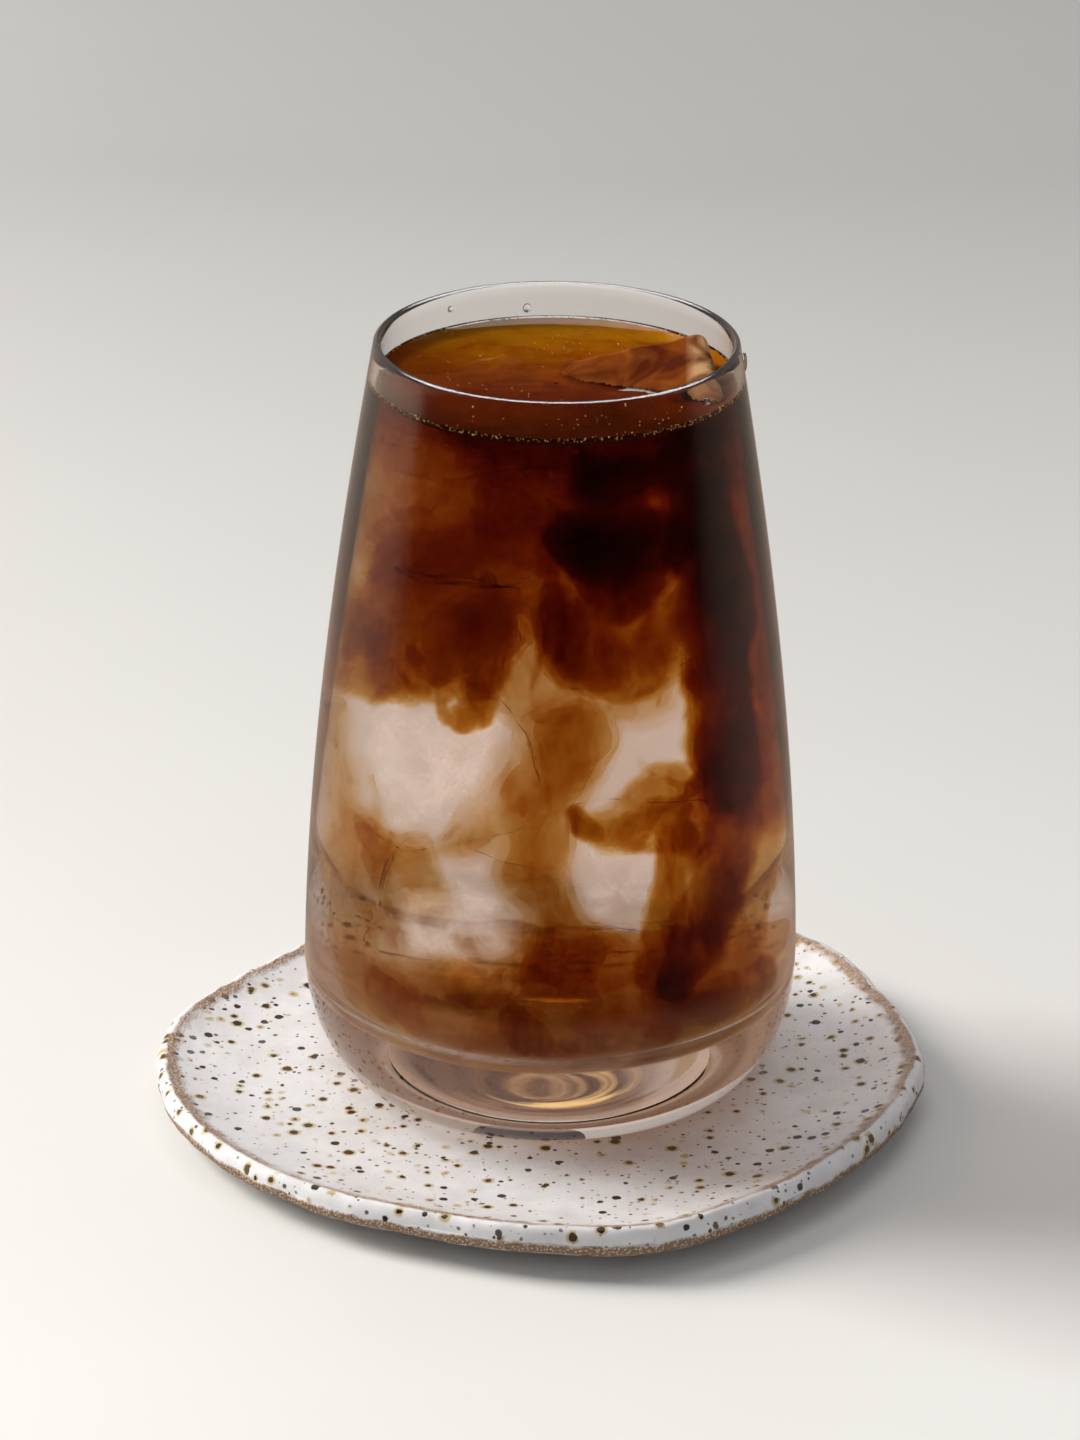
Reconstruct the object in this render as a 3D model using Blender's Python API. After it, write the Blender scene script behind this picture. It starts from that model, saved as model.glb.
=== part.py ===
"""Iced americano: a tumbler of water, ice and coffee that stands on a handmade saucer.

Metres, +Z up. The origin is on the table, under the middle of the tumbler.
Four pieces, all at rest on one another: saucer, tumbler, drink and the ice that breaks the surface.
"""

import math

import bmesh
import bpy
from mathutils import Matrix, Vector

# --- Tumbler: a thick foot, widest low down, drawn in towards the rim ---------------------------
GLASS_HEIGHT = 0.1290
GLASS_MAX_RADIUS = 0.0410
GLASS_MAX_RADIUS_HEIGHT = 0.0220
GLASS_RIM_RADIUS = 0.0294
FOOT_RADIUS = 0.0280
FOOT_PUNT_RADIUS = 0.0215
FOOT_PUNT_DEPTH = 0.0010
BODY_TAPER = (0.18, 1.06, -0.24)
RIM_WALL = 0.0013
LOW_WALL = 0.0021
INSIDE_FLOOR_HEIGHT = 0.0130
INSIDE_FLOOR_RADIUS = 0.0220
INSIDE_CORNER_TOP = 0.0280

# --- Drink and the ice that stands out of it -----------------------------------------------------
FILL_BELOW_RIM = 0.0070
ICE_SIZE = Vector((0.0250, 0.0200, 0.0140))
ICE_EDGE_ROUND = 0.0024
ICE_TOP_CORNER = Vector((0.0240, 0.0076, 0.0070))
ICE_TURN = math.radians(5)
ICE_SLOPE_ALONG_X = 0.22
ICE_SLOPE_ALONG_Y = 0.40

# --- Saucer: a hand-pressed slab, nearly straight between soft corners ---------------------------
SAUCER_THICKNESS = 0.0055
SAUCER_FOOT_SHARE = 0.62
SAUCER_FLOOR_SHARE = 0.66
LIP_RISE = 0.0033
LIP_RISE_WAVE = 0.0005
LIP_HIGH_SIDE = math.radians(330)
EDGE_LIFT = 0.0038
# azimuth in degrees, radius of the outer edge in metres
SAUCER_OUTLINE = (
    (0, 0.0638), (22, 0.0632), (42, 0.0656), (68, 0.0646), (96, 0.0652), (122, 0.0630),
    (146, 0.0616), (172, 0.0662), (198, 0.0666), (226, 0.0656), (250, 0.0644), (270, 0.0662),
    (285, 0.0678), (302, 0.0646), (326, 0.0622), (343, 0.0628),
)

# --- Fit between neighbours and fineness of the solids -------------------------------------------
GAP = 0.0003
ROUND_SIDES = 80
SMOOTH_ANGLE = math.radians(35)

GLASS_BASE = SAUCER_THICKNESS + GAP
FILL_LEVEL = GLASS_HEIGHT - FILL_BELOW_RIM


def clear_scene():
    """Take everything out of the open file."""
    for thing in list(bpy.data.objects):
        bpy.data.objects.remove(thing, do_unlink=True)


def plain_material(name, colour, roughness, metallic=0.0, transmission=0.0):
    """A Principled material with one colour."""
    material = bpy.data.materials.new(name)
    material.use_nodes = True
    shader = material.node_tree.nodes["Principled BSDF"]
    shader.inputs["Base Color"].default_value = (*colour, 1.0)
    shader.inputs["Roughness"].default_value = roughness
    shader.inputs["Metallic"].default_value = metallic
    shader.inputs["Transmission Weight"].default_value = transmission
    return material


def add_object(name, bm, material):
    """Put a finished bmesh in the scene, shaded smooth except across sharp edges."""
    mesh = bpy.data.meshes.new(name)
    bmesh.ops.recalc_face_normals(bm, faces=bm.faces)
    bm.to_mesh(mesh)
    bm.free()
    mesh.shade_smooth()
    mesh.set_sharp_from_angle(angle=SMOOTH_ANGLE)
    mesh.materials.append(material)
    thing = bpy.data.objects.new(name, mesh)
    bpy.context.collection.objects.link(thing)
    return thing


def turned(profile, sides=ROUND_SIDES):
    """Spin (radius, height) points, which start and end on the axis, into a closed body."""
    bm = bmesh.new()
    points = [bm.verts.new((radius, 0.0, height)) for radius, height in profile]
    edges = [bm.edges.new(pair) for pair in zip(points, points[1:])]
    bmesh.ops.spin(
        bm, geom=points + edges, cent=(0, 0, 0), axis=(0, 0, 1),
        angle=math.tau, steps=sides, use_merge=True,
    )
    bmesh.ops.remove_doubles(bm, verts=bm.verts, dist=1e-6)
    return bm


def steps(count, first=0):
    """Even shares from 0 to 1, with the first ones left out if asked."""
    return [index / count for index in range(first, count + 1)]


def quarter_curve(inner_radius, outer_radius, low, high, count):
    """A quarter ellipse that leaves the floor level and arrives at the wall upright."""
    points = []
    for share in steps(count):
        angle = share * math.pi / 2
        radius = inner_radius + (outer_radius - inner_radius) * math.sin(angle)
        points.append((radius, low + (high - low) * (1 - math.cos(angle))))
    return points


def body_radius(height):
    """Outer radius of the tumbler at any height above its widest ring."""
    share = (height - GLASS_MAX_RADIUS_HEIGHT) / (GLASS_HEIGHT - GLASS_MAX_RADIUS_HEIGHT)
    share = min(max(share, 0.0), 1.0)
    taper = sum(weight * share ** (power + 1) for power, weight in enumerate(BODY_TAPER))
    return GLASS_MAX_RADIUS - (GLASS_MAX_RADIUS - GLASS_RIM_RADIUS) * taper


def inside_radius(height):
    """Inner radius of the tumbler's wall, which thins towards the rim."""
    share = (height - INSIDE_CORNER_TOP) / (GLASS_HEIGHT - INSIDE_CORNER_TOP)
    return body_radius(height) - LOW_WALL + (LOW_WALL - RIM_WALL) * min(max(share, 0.0), 1.0)


def heights(low, high, count):
    """Even heights from low to high, without the lowest, which the curve below ends on."""
    return [low + (high - low) * share for share in steps(count, first=1)]


def cavity_profile(shrink, top, count):
    """Axis to wall: the tumbler's inside, made smaller all round by shrink."""
    corner_radius = inside_radius(INSIDE_CORNER_TOP) - shrink
    floor = INSIDE_FLOOR_HEIGHT + shrink
    points = [(0.0, floor)]
    points += quarter_curve(INSIDE_FLOOR_RADIUS, corner_radius, floor, INSIDE_CORNER_TOP, 6)
    points += [(inside_radius(z) - shrink, z) for z in heights(INSIDE_CORNER_TOP, top, count)]
    return points


def tumbler():
    """The glass: foot with a shallow punt, thick base, tapering wall and a rounded rim."""
    rim_round = RIM_WALL / 2
    shoulder = GLASS_HEIGHT - rim_round
    outside = [(0.0, FOOT_PUNT_DEPTH), (FOOT_PUNT_RADIUS, FOOT_PUNT_DEPTH)]
    outside += quarter_curve(FOOT_RADIUS, GLASS_MAX_RADIUS, 0.0, GLASS_MAX_RADIUS_HEIGHT, 7)
    outside += [(body_radius(z), z) for z in heights(GLASS_MAX_RADIUS_HEIGHT, shoulder, 10)]
    rim_middle = body_radius(shoulder) - rim_round
    rim = [
        (rim_middle + rim_round * math.cos(angle), shoulder + rim_round * math.sin(angle))
        for angle in (math.pi * share for share in (0.25, 0.5, 0.75))
    ]
    inside = cavity_profile(0.0, shoulder, 9)
    bm = turned(outside + rim + inside[::-1])
    bmesh.ops.translate(bm, verts=bm.verts, vec=(0, 0, GLASS_BASE))
    clear = plain_material("clear_glass", (0.96, 0.97, 0.97), 0.03, transmission=1.0)
    return add_object("tumbler", bm, clear)


def ice_axes():
    """Matrix whose X, Y and Z run along the ice block's sides, at its highest corner."""
    along = Vector((math.cos(ICE_TURN), math.sin(ICE_TURN), ICE_SLOPE_ALONG_X)).normalized()
    across = Vector((-math.sin(ICE_TURN), math.cos(ICE_TURN), ICE_SLOPE_ALONG_Y))
    across = (across - along * across.dot(along)).normalized()
    up = along.cross(across)
    turn = Matrix((along, across, up)).transposed().to_4x4()
    corner = ICE_TOP_CORNER + Vector((0, 0, GLASS_BASE + FILL_LEVEL))
    return Matrix.Translation(corner) @ turn


def ice_block(grow=0.0):
    """A block of ice with rounded edges, hung by its highest corner; grow widens every side."""
    bm = bmesh.new()
    size = ICE_SIZE + Vector((grow, grow, grow)) * 2
    middle = -ICE_SIZE / 2
    bmesh.ops.create_cube(bm, size=1.0, matrix=Matrix.Translation(middle) @ Matrix.Diagonal((*size, 1)))
    bmesh.ops.bevel(
        bm, geom=bm.edges[:], offset=ICE_EDGE_ROUND + grow, segments=3, profile=0.5,
        affect="EDGES", clamp_overlap=True,
    )
    bmesh.ops.transform(bm, matrix=ice_axes(), verts=bm.verts)
    return bm


def ice():
    """The block that stands out of the drink at one corner."""
    return add_object("ice_block", ice_block(), plain_material("ice", (0.86, 0.84, 0.80), 0.12, transmission=0.8))


def drink():
    """Everything in the tumbler up to the surface, cut round the ice block."""
    profile = cavity_profile(GAP, FILL_LEVEL, 8) + [(0.0, FILL_LEVEL)]
    bm = turned(profile)
    bmesh.ops.translate(bm, verts=bm.verts, vec=(0, 0, GLASS_BASE))
    body = add_object("drink", bm, plain_material("coffee", (0.16, 0.05, 0.012), 0.08))

    cutter = add_object("ice_pocket_cutter", ice_block(grow=GAP), body.data.materials[0])
    cutter.display_type = "WIRE"
    cutter.hide_render = True
    pocket = body.modifiers.new("ice_pocket", "BOOLEAN")
    pocket.operation = "DIFFERENCE"
    pocket.solver = "EXACT"
    pocket.object = cutter
    return body


def outline_radius(azimuth):
    """Radius of the saucer's edge: one smooth closed curve through the outline's points."""
    degrees = math.degrees(azimuth) % 360
    count = len(SAUCER_OUTLINE)
    after = next((i for i, point in enumerate(SAUCER_OUTLINE) if point[0] > degrees), count)
    near = [SAUCER_OUTLINE[(after + offset) % count] for offset in (-2, -1, 0, 1)]
    turns = [360 * ((after + offset) // count) for offset in (-2, -1, 0, 1)]
    angle = [point[0] + turn for point, turn in zip(near, turns)]
    radius = [point[1] for point in near]

    span = angle[2] - angle[1]
    start_slope = (radius[2] - radius[0]) / (angle[2] - angle[0]) * span
    end_slope = (radius[3] - radius[1]) / (angle[3] - angle[1]) * span
    t = (degrees - angle[1]) / span
    return (
        (2 * t ** 3 - 3 * t ** 2 + 1) * radius[1] + (t ** 3 - 2 * t ** 2 + t) * start_slope
        + (3 * t ** 2 - 2 * t ** 3) * radius[2] + (t ** 3 - t ** 2) * end_slope
    )


def lip_rise(azimuth):
    """Height of the lip above the saucer's floor, a little higher on one side."""
    return LIP_RISE + LIP_RISE_WAVE * math.cos(azimuth - LIP_HIGH_SIDE)


def saucer():
    """A flat foot, an underside that lifts to the edge, a level floor and a low rounded lip."""
    top, edge = SAUCER_THICKNESS, EDGE_LIFT
    crest = top + LIP_RISE
    rise_start = SAUCER_FLOOR_SHARE
    # share of the outline's radius, height where the lip is at its mean rise
    under = [(0.0, 0.0), (SAUCER_FOOT_SHARE, 0.0), (0.74, 0.0007), (0.88, 0.0024), (0.965, edge - 0.0004)]
    side = [(0.988, edge), (1.0, edge + 0.0011), (0.998, edge + 0.0030), (0.989, crest - 0.0007)]
    lip = [(0.974, crest), (0.958, crest - 0.0003)]
    slope = [
        (0.958 - (0.958 - rise_start) * share, top + (LIP_RISE - 0.0003) * (1 - share) ** 2.2)
        for share in steps(6, first=1)
    ]
    bm = turned(under + side + lip + slope + [(0.0, top)], sides=96)

    for vert in bm.verts:
        share = math.hypot(vert.co.x, vert.co.y)
        if share < 1e-6:
            continue
        azimuth = math.atan2(vert.co.y, vert.co.x)
        radius = outline_radius(azimuth)
        even = sum(point[1] for point in SAUCER_OUTLINE) / len(SAUCER_OUTLINE)
        # the foot and floor stay nearly round; the edge follows the outline in full
        follow = min(1.0, (share / SAUCER_FLOOR_SHARE) ** 3)
        reach = share * (even + (radius - even) * follow)
        climb = (vert.co.z - top) / LIP_RISE if vert.co.z > top else 0.0
        height = vert.co.z + (lip_rise(azimuth) - LIP_RISE) * climb
        vert.co = (reach * math.cos(azimuth), reach * math.sin(azimuth), height)
    return add_object("saucer", bm, plain_material("speckled_glaze", (0.76, 0.74, 0.74), 0.35))


clear_scene()
saucer()
tumbler()
drink()
ice()
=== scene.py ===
# %% [markdown]
# # An iced americano on its saucer
# A tall tumbler holds ice and water, and coffee has just been poured over it. The coffee is still sinking
# between the ice blocks in clouds, streams and curls. Under the glass lies a small saucer, pressed by hand
# from speckled clay and dipped in a white glaze. The measured solids come first, and every piece below is
# fitted to them, so that the looks and the sizes can't drift apart.

# %% Load the measured solids
import math

import bmesh
import bpy
import numpy as np
from mathutils import Matrix, Vector


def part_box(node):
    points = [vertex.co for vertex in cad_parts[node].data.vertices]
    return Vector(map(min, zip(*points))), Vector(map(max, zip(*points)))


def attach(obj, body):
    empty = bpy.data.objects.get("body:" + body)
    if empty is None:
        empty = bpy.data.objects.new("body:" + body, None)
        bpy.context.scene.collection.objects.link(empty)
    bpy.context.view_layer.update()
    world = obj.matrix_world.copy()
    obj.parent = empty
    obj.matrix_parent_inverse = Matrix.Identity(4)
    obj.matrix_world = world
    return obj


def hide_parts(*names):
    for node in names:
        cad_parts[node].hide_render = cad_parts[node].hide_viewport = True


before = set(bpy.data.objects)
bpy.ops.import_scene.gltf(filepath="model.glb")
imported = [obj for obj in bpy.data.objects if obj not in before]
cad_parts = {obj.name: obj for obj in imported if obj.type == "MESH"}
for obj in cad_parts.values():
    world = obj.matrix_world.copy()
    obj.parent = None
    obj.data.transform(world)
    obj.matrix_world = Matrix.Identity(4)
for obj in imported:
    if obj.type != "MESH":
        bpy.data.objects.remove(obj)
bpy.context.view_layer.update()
MM = 0.001

saucer_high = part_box("saucer")[1]
glass_low, glass_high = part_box("tumbler")
drink_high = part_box("drink")[1]
GLASS_BASE = glass_low[2]
GLASS_HEIGHT = glass_high[2] - glass_low[2]
FILL_HEIGHT = drink_high[2] - GLASS_BASE
print(f"tumbler {GLASS_HEIGHT / MM:.1f} mm tall, filled to {FILL_HEIGHT / MM:.1f} mm")

# %% [markdown]
# ## Where the viewer stands
# The glass is seen from about a metre away through a long lens, from a little above. A long lens keeps the
# sides of a tall glass from leaning apart. The picture is tipped by about half a degree, as a hand-held one
# is, and the glass stands a touch right of the middle, which is a small sideways shift of the lens.

# %% Camera
CAMERA_DISTANCE = 0.9077
CAMERA_HEIGHT = 0.4507
CAMERA_PITCH = math.radians(23.14)
CAMERA_ROLL = math.radians(0.63)
CAMERA_LENS = 150.0
SENSOR_SIZE = 36.0
PICTURE_HEIGHT = 1440
GLASS_RIGHT_OF_MIDDLE = 12.8

camera_data = bpy.data.cameras.new("camera")
camera_data.lens = CAMERA_LENS
camera_data.sensor_width = SENSOR_SIZE
camera_data.shift_x = -GLASS_RIGHT_OF_MIDDLE / PICTURE_HEIGHT
camera_data.clip_start, camera_data.clip_end = 0.01, 20.0
camera = bpy.data.objects.new("camera", camera_data)
camera.matrix_world = (
    Matrix.Translation((0.0, -CAMERA_DISTANCE, GLASS_BASE + CAMERA_HEIGHT))
    @ Matrix.Rotation(math.radians(90) - CAMERA_PITCH, 4, "X")
    @ Matrix.Rotation(CAMERA_ROLL, 4, "Z")
)
bpy.context.collection.objects.link(camera)
bpy.context.scene.camera = camera
print("camera height", round(GLASS_BASE + CAMERA_HEIGHT, 3), "m")

# %% [markdown]
# ## Writing materials as short lists of nodes
# A node material can be drawn by hand in the shader editor, or written as code. In code the same steps come
# back all the time: make a node, set its values, link its inputs. A few small helpers do that, so that each
# material below reads as a list of what the finish is made of. Where a node is handed on, its first output
# is meant.

# %% Make, link and hand over nodes
def new_material(name):
    """A node material that is still empty, and its tree."""
    material = bpy.data.materials.new(name)
    material.use_nodes = True
    material.cycles.emission_sampling = "NONE"   # what glows here is too faint to be searched for as a lamp
    material.node_tree.nodes.clear()
    return material, material.node_tree


def first_output(value):
    """A node stands for its first output."""
    return value.outputs[0] if isinstance(value, bpy.types.Node) else value


def find_socket(node, key):
    """An input by its name with underscores for spaces, or by its number as i0, i1, i2."""
    if key[0] == "i" and key[1:].isdigit():
        return node.inputs[int(key[1:])]
    return node.inputs[key.replace("_", " ")]


def add_node(tree, kind, settings=None, **inputs):
    """Add a node; an input given as another node or its output is linked, any other is set."""
    node = tree.nodes.new("ShaderNode" + kind)
    for key, value in (settings or {}).items():
        setattr(node, key, value)
    for key, value in inputs.items():
        socket, value = find_socket(node, key), first_output(value)
        if isinstance(value, bpy.types.NodeSocket):
            tree.links.new(value, socket)
        else:
            socket.default_value = value
    return node


def mix_shaders(tree, share, first, second):
    """The first finish where share is 0, the second where it is 1."""
    return add_node(tree, "MixShader", i0=share, i1=first, i2=second)


def finish(material, surface, piece, **more):
    """Link the last shader to the material's output, and give the material to a piece."""
    add_node(material.node_tree, "OutputMaterial", Surface=surface, **more)
    piece.data.materials.append(material)


# %% Sums and colours that vary over a surface
def calculate(tree, operation, first, second=0.0, third=0.0, clamp=False):
    """One step of arithmetic on numbers that vary over a surface."""
    settings = {"operation": operation, "use_clamp": clamp}
    return add_node(tree, "Math", settings, i0=first, i1=second, i2=third)


def times(tree, first, second, clamp=False):
    return calculate(tree, "MULTIPLY", first, second, clamp=clamp)


def times_plus(tree, first, second, third, clamp=False):
    return calculate(tree, "MULTIPLY_ADD", first, second, third, clamp)


def map_range(tree, value, start, end, low=0.0, high=1.0):
    """low where the value is at start, high where it is at end."""
    return add_node(tree, "MapRange", i0=value, i1=start, i2=end, i3=low, i4=high)


def blend_colours(tree, share, first, second, way="MIX"):
    """The first colour where share is 0, the second where it is 1."""
    first, second = [(*c, 1.0) if isinstance(c, tuple) and len(c) == 3 else c for c in (first, second)]
    settings = {"data_type": "RGBA", "blend_type": way}
    return add_node(tree, "Mix", settings, i0=share, i6=first, i7=second).outputs[2]


def ramp(tree, value, stops):
    """A grey or colour ramp through (place, colour) stops."""
    node = add_node(tree, "ValToRGB", Fac=value)
    elements = node.color_ramp.elements
    while len(elements) < len(stops):
        elements.new(0.5)
    for element, (place, colour) in zip(elements, stops):
        element.position = place
        element.color = (colour,) * 3 + (1.0,) if isinstance(colour, float) else (*colour, 1.0)
    return node


# %% Places, distances, patterns and masks
def own_place(tree):
    """Places on the piece, in metres."""
    return add_node(tree, "TexCoord").outputs["Object"]


def axis_of(tree, place, axis):
    """One of the three numbers of a place."""
    return add_node(tree, "SeparateXYZ", i0=place).outputs["XYZ".index(axis)]


def how_far(tree, place, middle=(0, 0, 0), stretch=(1, 1, 0)):
    """Distance from a middle, seen from above; stretch draws the round spot out or in along x and y."""
    shift = [-a * b for a, b in zip(middle, stretch)]
    gap = add_node(tree, "VectorMath", {"operation": "MULTIPLY_ADD"}, i0=place, i1=stretch, i2=shift)
    return add_node(tree, "VectorMath", {"operation": "LENGTH"}, i0=gap).outputs["Value"]


def noise(tree, place, scale, detail, distortion=0.0, roughness=0.5):
    return add_node(tree, "TexNoise", Vector=place, Scale=scale, Detail=detail, Distortion=distortion,
                    Roughness=roughness)


def relief(tree, scale, detail, depth, strength):
    """Soft unevenness of a surface, made by noise."""
    marks = noise(tree, own_place(tree), scale, detail)
    return add_node(tree, "Bump", Height=marks, Distance=depth, Strength=strength)


def mask(tree, name):
    """A number written on the mesh."""
    return add_node(tree, "Attribute", {"attribute_name": name}).outputs["Fac"]


# %% [markdown]
# ## Light, room and table
# Glass has no colour of its own, it shows what stands round it. A window panel high on the left is the
# strongest, so the shadow falls to the right. A weak panel overhead fills the shade. Two large cards stand
# low behind, and give the glass its soft bright sides. Towards the viewer the glass should mirror next to
# nothing, so that the coffee keeps its own deep colour. A photographer turns a polarising filter for that,
# or stands in a dark room. Here the room and the table on the viewer's side look dim to mirrored rays only,
# by one Light Path node each. High up the sky is bright for the first sharp mirror alone, which gives the
# rim its white line and leaves the table and the glaze as they are.

# %% Lamps and room
def soft_panel(name, place, aim, size, watts, colour):
    """A rectangular lamp that faces a point."""
    data = bpy.data.lights.new(name, "AREA")
    data.shape = "RECTANGLE"
    data.size, data.size_y = size
    data.energy = watts
    data.color = colour
    lamp = bpy.data.objects.new(name, data)
    lamp.location = place
    lamp.rotation_euler = (Vector(aim) - Vector(place)).to_track_quat("-Z", "Y").to_euler()
    bpy.context.collection.objects.link(lamp)
    return lamp


def mirrored(tree):
    """1 for a ray that has been mirrored, 0 for any other."""
    return calculate(tree, "MINIMUM", add_node(tree, "LightPath").outputs["Glossy Depth"], 1.0)


def mirrored_back(tree, place, start, end):
    """1 for a mirrored ray that comes from the viewer's side, 0 for any other."""
    return times(tree, mirrored(tree), map_range(tree, axis_of(tree, place, "Y"), start, end))


ROOM_COLOUR, ROOM_STRENGTH = (0.92, 0.94, 0.98), 0.32
MIRRORED_ROOM, MIRRORED_SKY = 0.015, 12.0
LOW_ROOM_PAINTED_TINT = (0.98, 0.60, 0.38)     # painted light: a warm brown low down, seen only by rays that came through glass, tints the thick foot
SHADE_COLOUR = (0.17, 0.14, 0.15)        # and painted shade below it

world = bpy.data.worlds.new("studio")
world.use_nodes = True
tree = world.node_tree
direction = add_node(tree, "TexCoord").outputs["Generated"]
height = axis_of(tree, direction, "Z")
path = add_node(tree, "LightPath")
sharp, passed = path.outputs["Is Singular Ray"], path.outputs["Transmission Depth"]
outer = times(tree, calculate(tree, "SUBTRACT", sharp, passed, clamp=True), mirrored(tree))
sky = times(tree, outer, map_range(tree, height, 0.56, 0.70))
strength = times_plus(tree, sky, MIRRORED_SKY - ROOM_STRENGTH, ROOM_STRENGTH)
dim = mirrored_back(tree, direction, 0.10, -0.20)
strength = add_node(tree, "Mix", i0=dim, i2=strength, i3=MIRRORED_ROOM).outputs[0]
# painted light and shade: rays that came through glass see a warm brown low down and a dark shade lower
# still, which colour the thick foot
low = times(tree, calculate(tree, "MINIMUM", passed, 1.0), map_range(tree, height, 0.75, 0.45))
low_colour = blend_colours(tree, map_range(tree, height, 0.50, 0.43), LOW_ROOM_PAINTED_TINT, SHADE_COLOUR)
colour = blend_colours(tree, low, ROOM_COLOUR, low_colour)
tree.links.new(colour, tree.nodes["Background"].inputs["Color"])
tree.links.new(strength, tree.nodes["Background"].inputs["Strength"])
bpy.context.scene.world = world

key = soft_panel("window_left", (-1.30, 0.42, 0.95), (0, 0, 0.05), (0.75, 0.85), 37.0, (1.0, 0.97, 0.93))
fill = soft_panel("overhead", (0.0, 0.4, 1.6), (0, 0, 0), (1.4, 1.2), 5.8, (1.0, 0.985, 0.96))
key.visible_glossy = False
key.visible_transmission = fill.visible_transmission = False
card = soft_panel("card_left", (-0.80, 0.80, 0.30), (0, 0, 0.08), (1.7, 1.3), 3.2, (1.0, 0.90, 0.82))
other_card = soft_panel("card_right", (0.86, 0.76, 0.30), (0, 0, 0.08), (1.5, 1.3), 1.6, (1.0, 0.74, 0.52))
card.visible_diffuse = other_card.visible_diffuse = False

# %% Table
TABLE_RADIUS = 1.6
TABLE_COLOUR = (0.86, 0.85, 0.82)
MIRRORED_TABLE, MIRRORED_TABLE_BEHIND = (0.022, 0.018, 0.015), (0.30, 0.22, 0.16)

bpy.ops.mesh.primitive_circle_add(vertices=96, radius=TABLE_RADIUS, fill_type="NGON")
table = bpy.context.object
table.name = "table_top"
material, tree = new_material("pale_table")
where = own_place(tree)
clouding = noise(tree, where, 9.0, 5.0, roughness=0.6)
tone = ramp(tree, clouding, [(0.3, (0.84, 0.83, 0.80)), (0.7, TABLE_COLOUR)])
# painted shade: the table is coloured darker towards the back, where less light falls
painted_falloff = map_range(tree, axis_of(tree, where, "Y"), -0.10, 0.50, 1.0, 0.50)
tone = blend_colours(tree, 1.0, tone, painted_falloff, "MULTIPLY")
# painted reflection: mirrored rays see the table as a dim warm brown, and nearly black on the viewer's side
tone = blend_colours(tree, times(tree, mirrored(tree), 0.9), tone, MIRRORED_TABLE_BEHIND)
tone = blend_colours(tree, mirrored_back(tree, where, 0.03, -0.12), tone, MIRRORED_TABLE)
finish(material, add_node(tree, "BsdfPrincipled", Base_Color=tone, Roughness=0.45), table)

# %% [markdown]
# ## How light is followed through the drink
# A line of sight crosses glass, water and several clouds, and each crossing counts as one bounce. With too
# few of them, the middle of the drink would turn black. The plain view transform keeps whites white, which
# is how the pale table and glaze are meant to look.

# %% View transform and light paths
scene = bpy.context.scene
scene.view_settings.view_transform = "Standard"
scene.cycles.max_bounces = 12
scene.cycles.glossy_bounces = 6
scene.cycles.transmission_bounces = 12
scene.cycles.transparent_max_bounces = 64
print("light paths of up to", scene.cycles.max_bounces, "bounces")

# %% [markdown]
# ## The saucer's form
# A hand-pressed slab is nowhere quite round or level. A plain turned dish would look machine-made, and
# sculpting by hand can't be repeated. So one section is swept round, and three things change on the way:
# the radius follows the uneven outline of the solid, the lip rises more on one side, and soft lumps, all of
# them pressed inwards, dent the clay. The section is a smooth curve through the same points as the solid's.

# %% Saucer sizes
SAUCER_FLOOR = saucer_high[2] - 3.8 * MM
LIP_RISE, LIP_RISE_WAVE = 3.3 * MM, 0.5 * MM
LIP_HIGH_SIDE = math.radians(330)
EDGE_LIFT = 3.8 * MM
FLOOR_SHARE = 0.66
# direction in degrees, radius of the edge in mm
SAUCER_OUTLINE = (
    (0, 63.8), (22, 63.2), (42, 65.6), (68, 64.6), (96, 65.2), (122, 63.0), (146, 61.6), (172, 66.2),
    (198, 66.6), (226, 65.6), (250, 64.4), (270, 66.2), (285, 67.8), (302, 64.6), (326, 62.2), (343, 62.8),
)


def outline_radius(azimuth):
    """Radius of the saucer's edge, by one smooth closed curve through the outline's points."""
    angle = np.array([point[0] for point in SAUCER_OUTLINE], float)
    radius = np.array([point[1] for point in SAUCER_OUTLINE]) * MM
    angle = np.concatenate([angle[-2:] - 360, angle, angle[:3] + 360])
    radius = np.concatenate([radius[-2:], radius, radius[:3]])
    slope = np.zeros(len(angle))
    slope[1:-1] = (radius[2:] - radius[:-2]) / (angle[2:] - angle[:-2])
    degrees = np.degrees(azimuth) % 360
    left = np.searchsorted(angle, degrees, side="right") - 1
    span = angle[left + 1] - angle[left]
    t = (degrees - angle[left]) / span
    return (
        (2 * t ** 3 - 3 * t ** 2 + 1) * radius[left] + (t ** 3 - 2 * t ** 2 + t) * slope[left] * span
        + (3 * t ** 2 - 2 * t ** 3) * radius[left + 1] + (t ** 3 - t ** 2) * slope[left + 1] * span
    )


print(f"saucer edge {outline_radius(0.0) / MM:.1f} mm to the right of the middle")


# %% Saucer section
def smooth_section(points, steps):
    """Points along a smooth curve through the given ones."""
    points = np.array([points[0], *points, points[-1]])
    line = []
    for a, b, c, d in zip(points, points[1:], points[2:], points[3:]):
        for t in np.arange(steps) / steps:
            line.append(0.5 * (
                2 * b + (c - a) * t + (2 * a - 5 * b + 4 * c - d) * t ** 2 + (3 * b - a - 3 * c + d) * t ** 3
            ))
    return np.array(line + [points[-1]])


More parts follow.
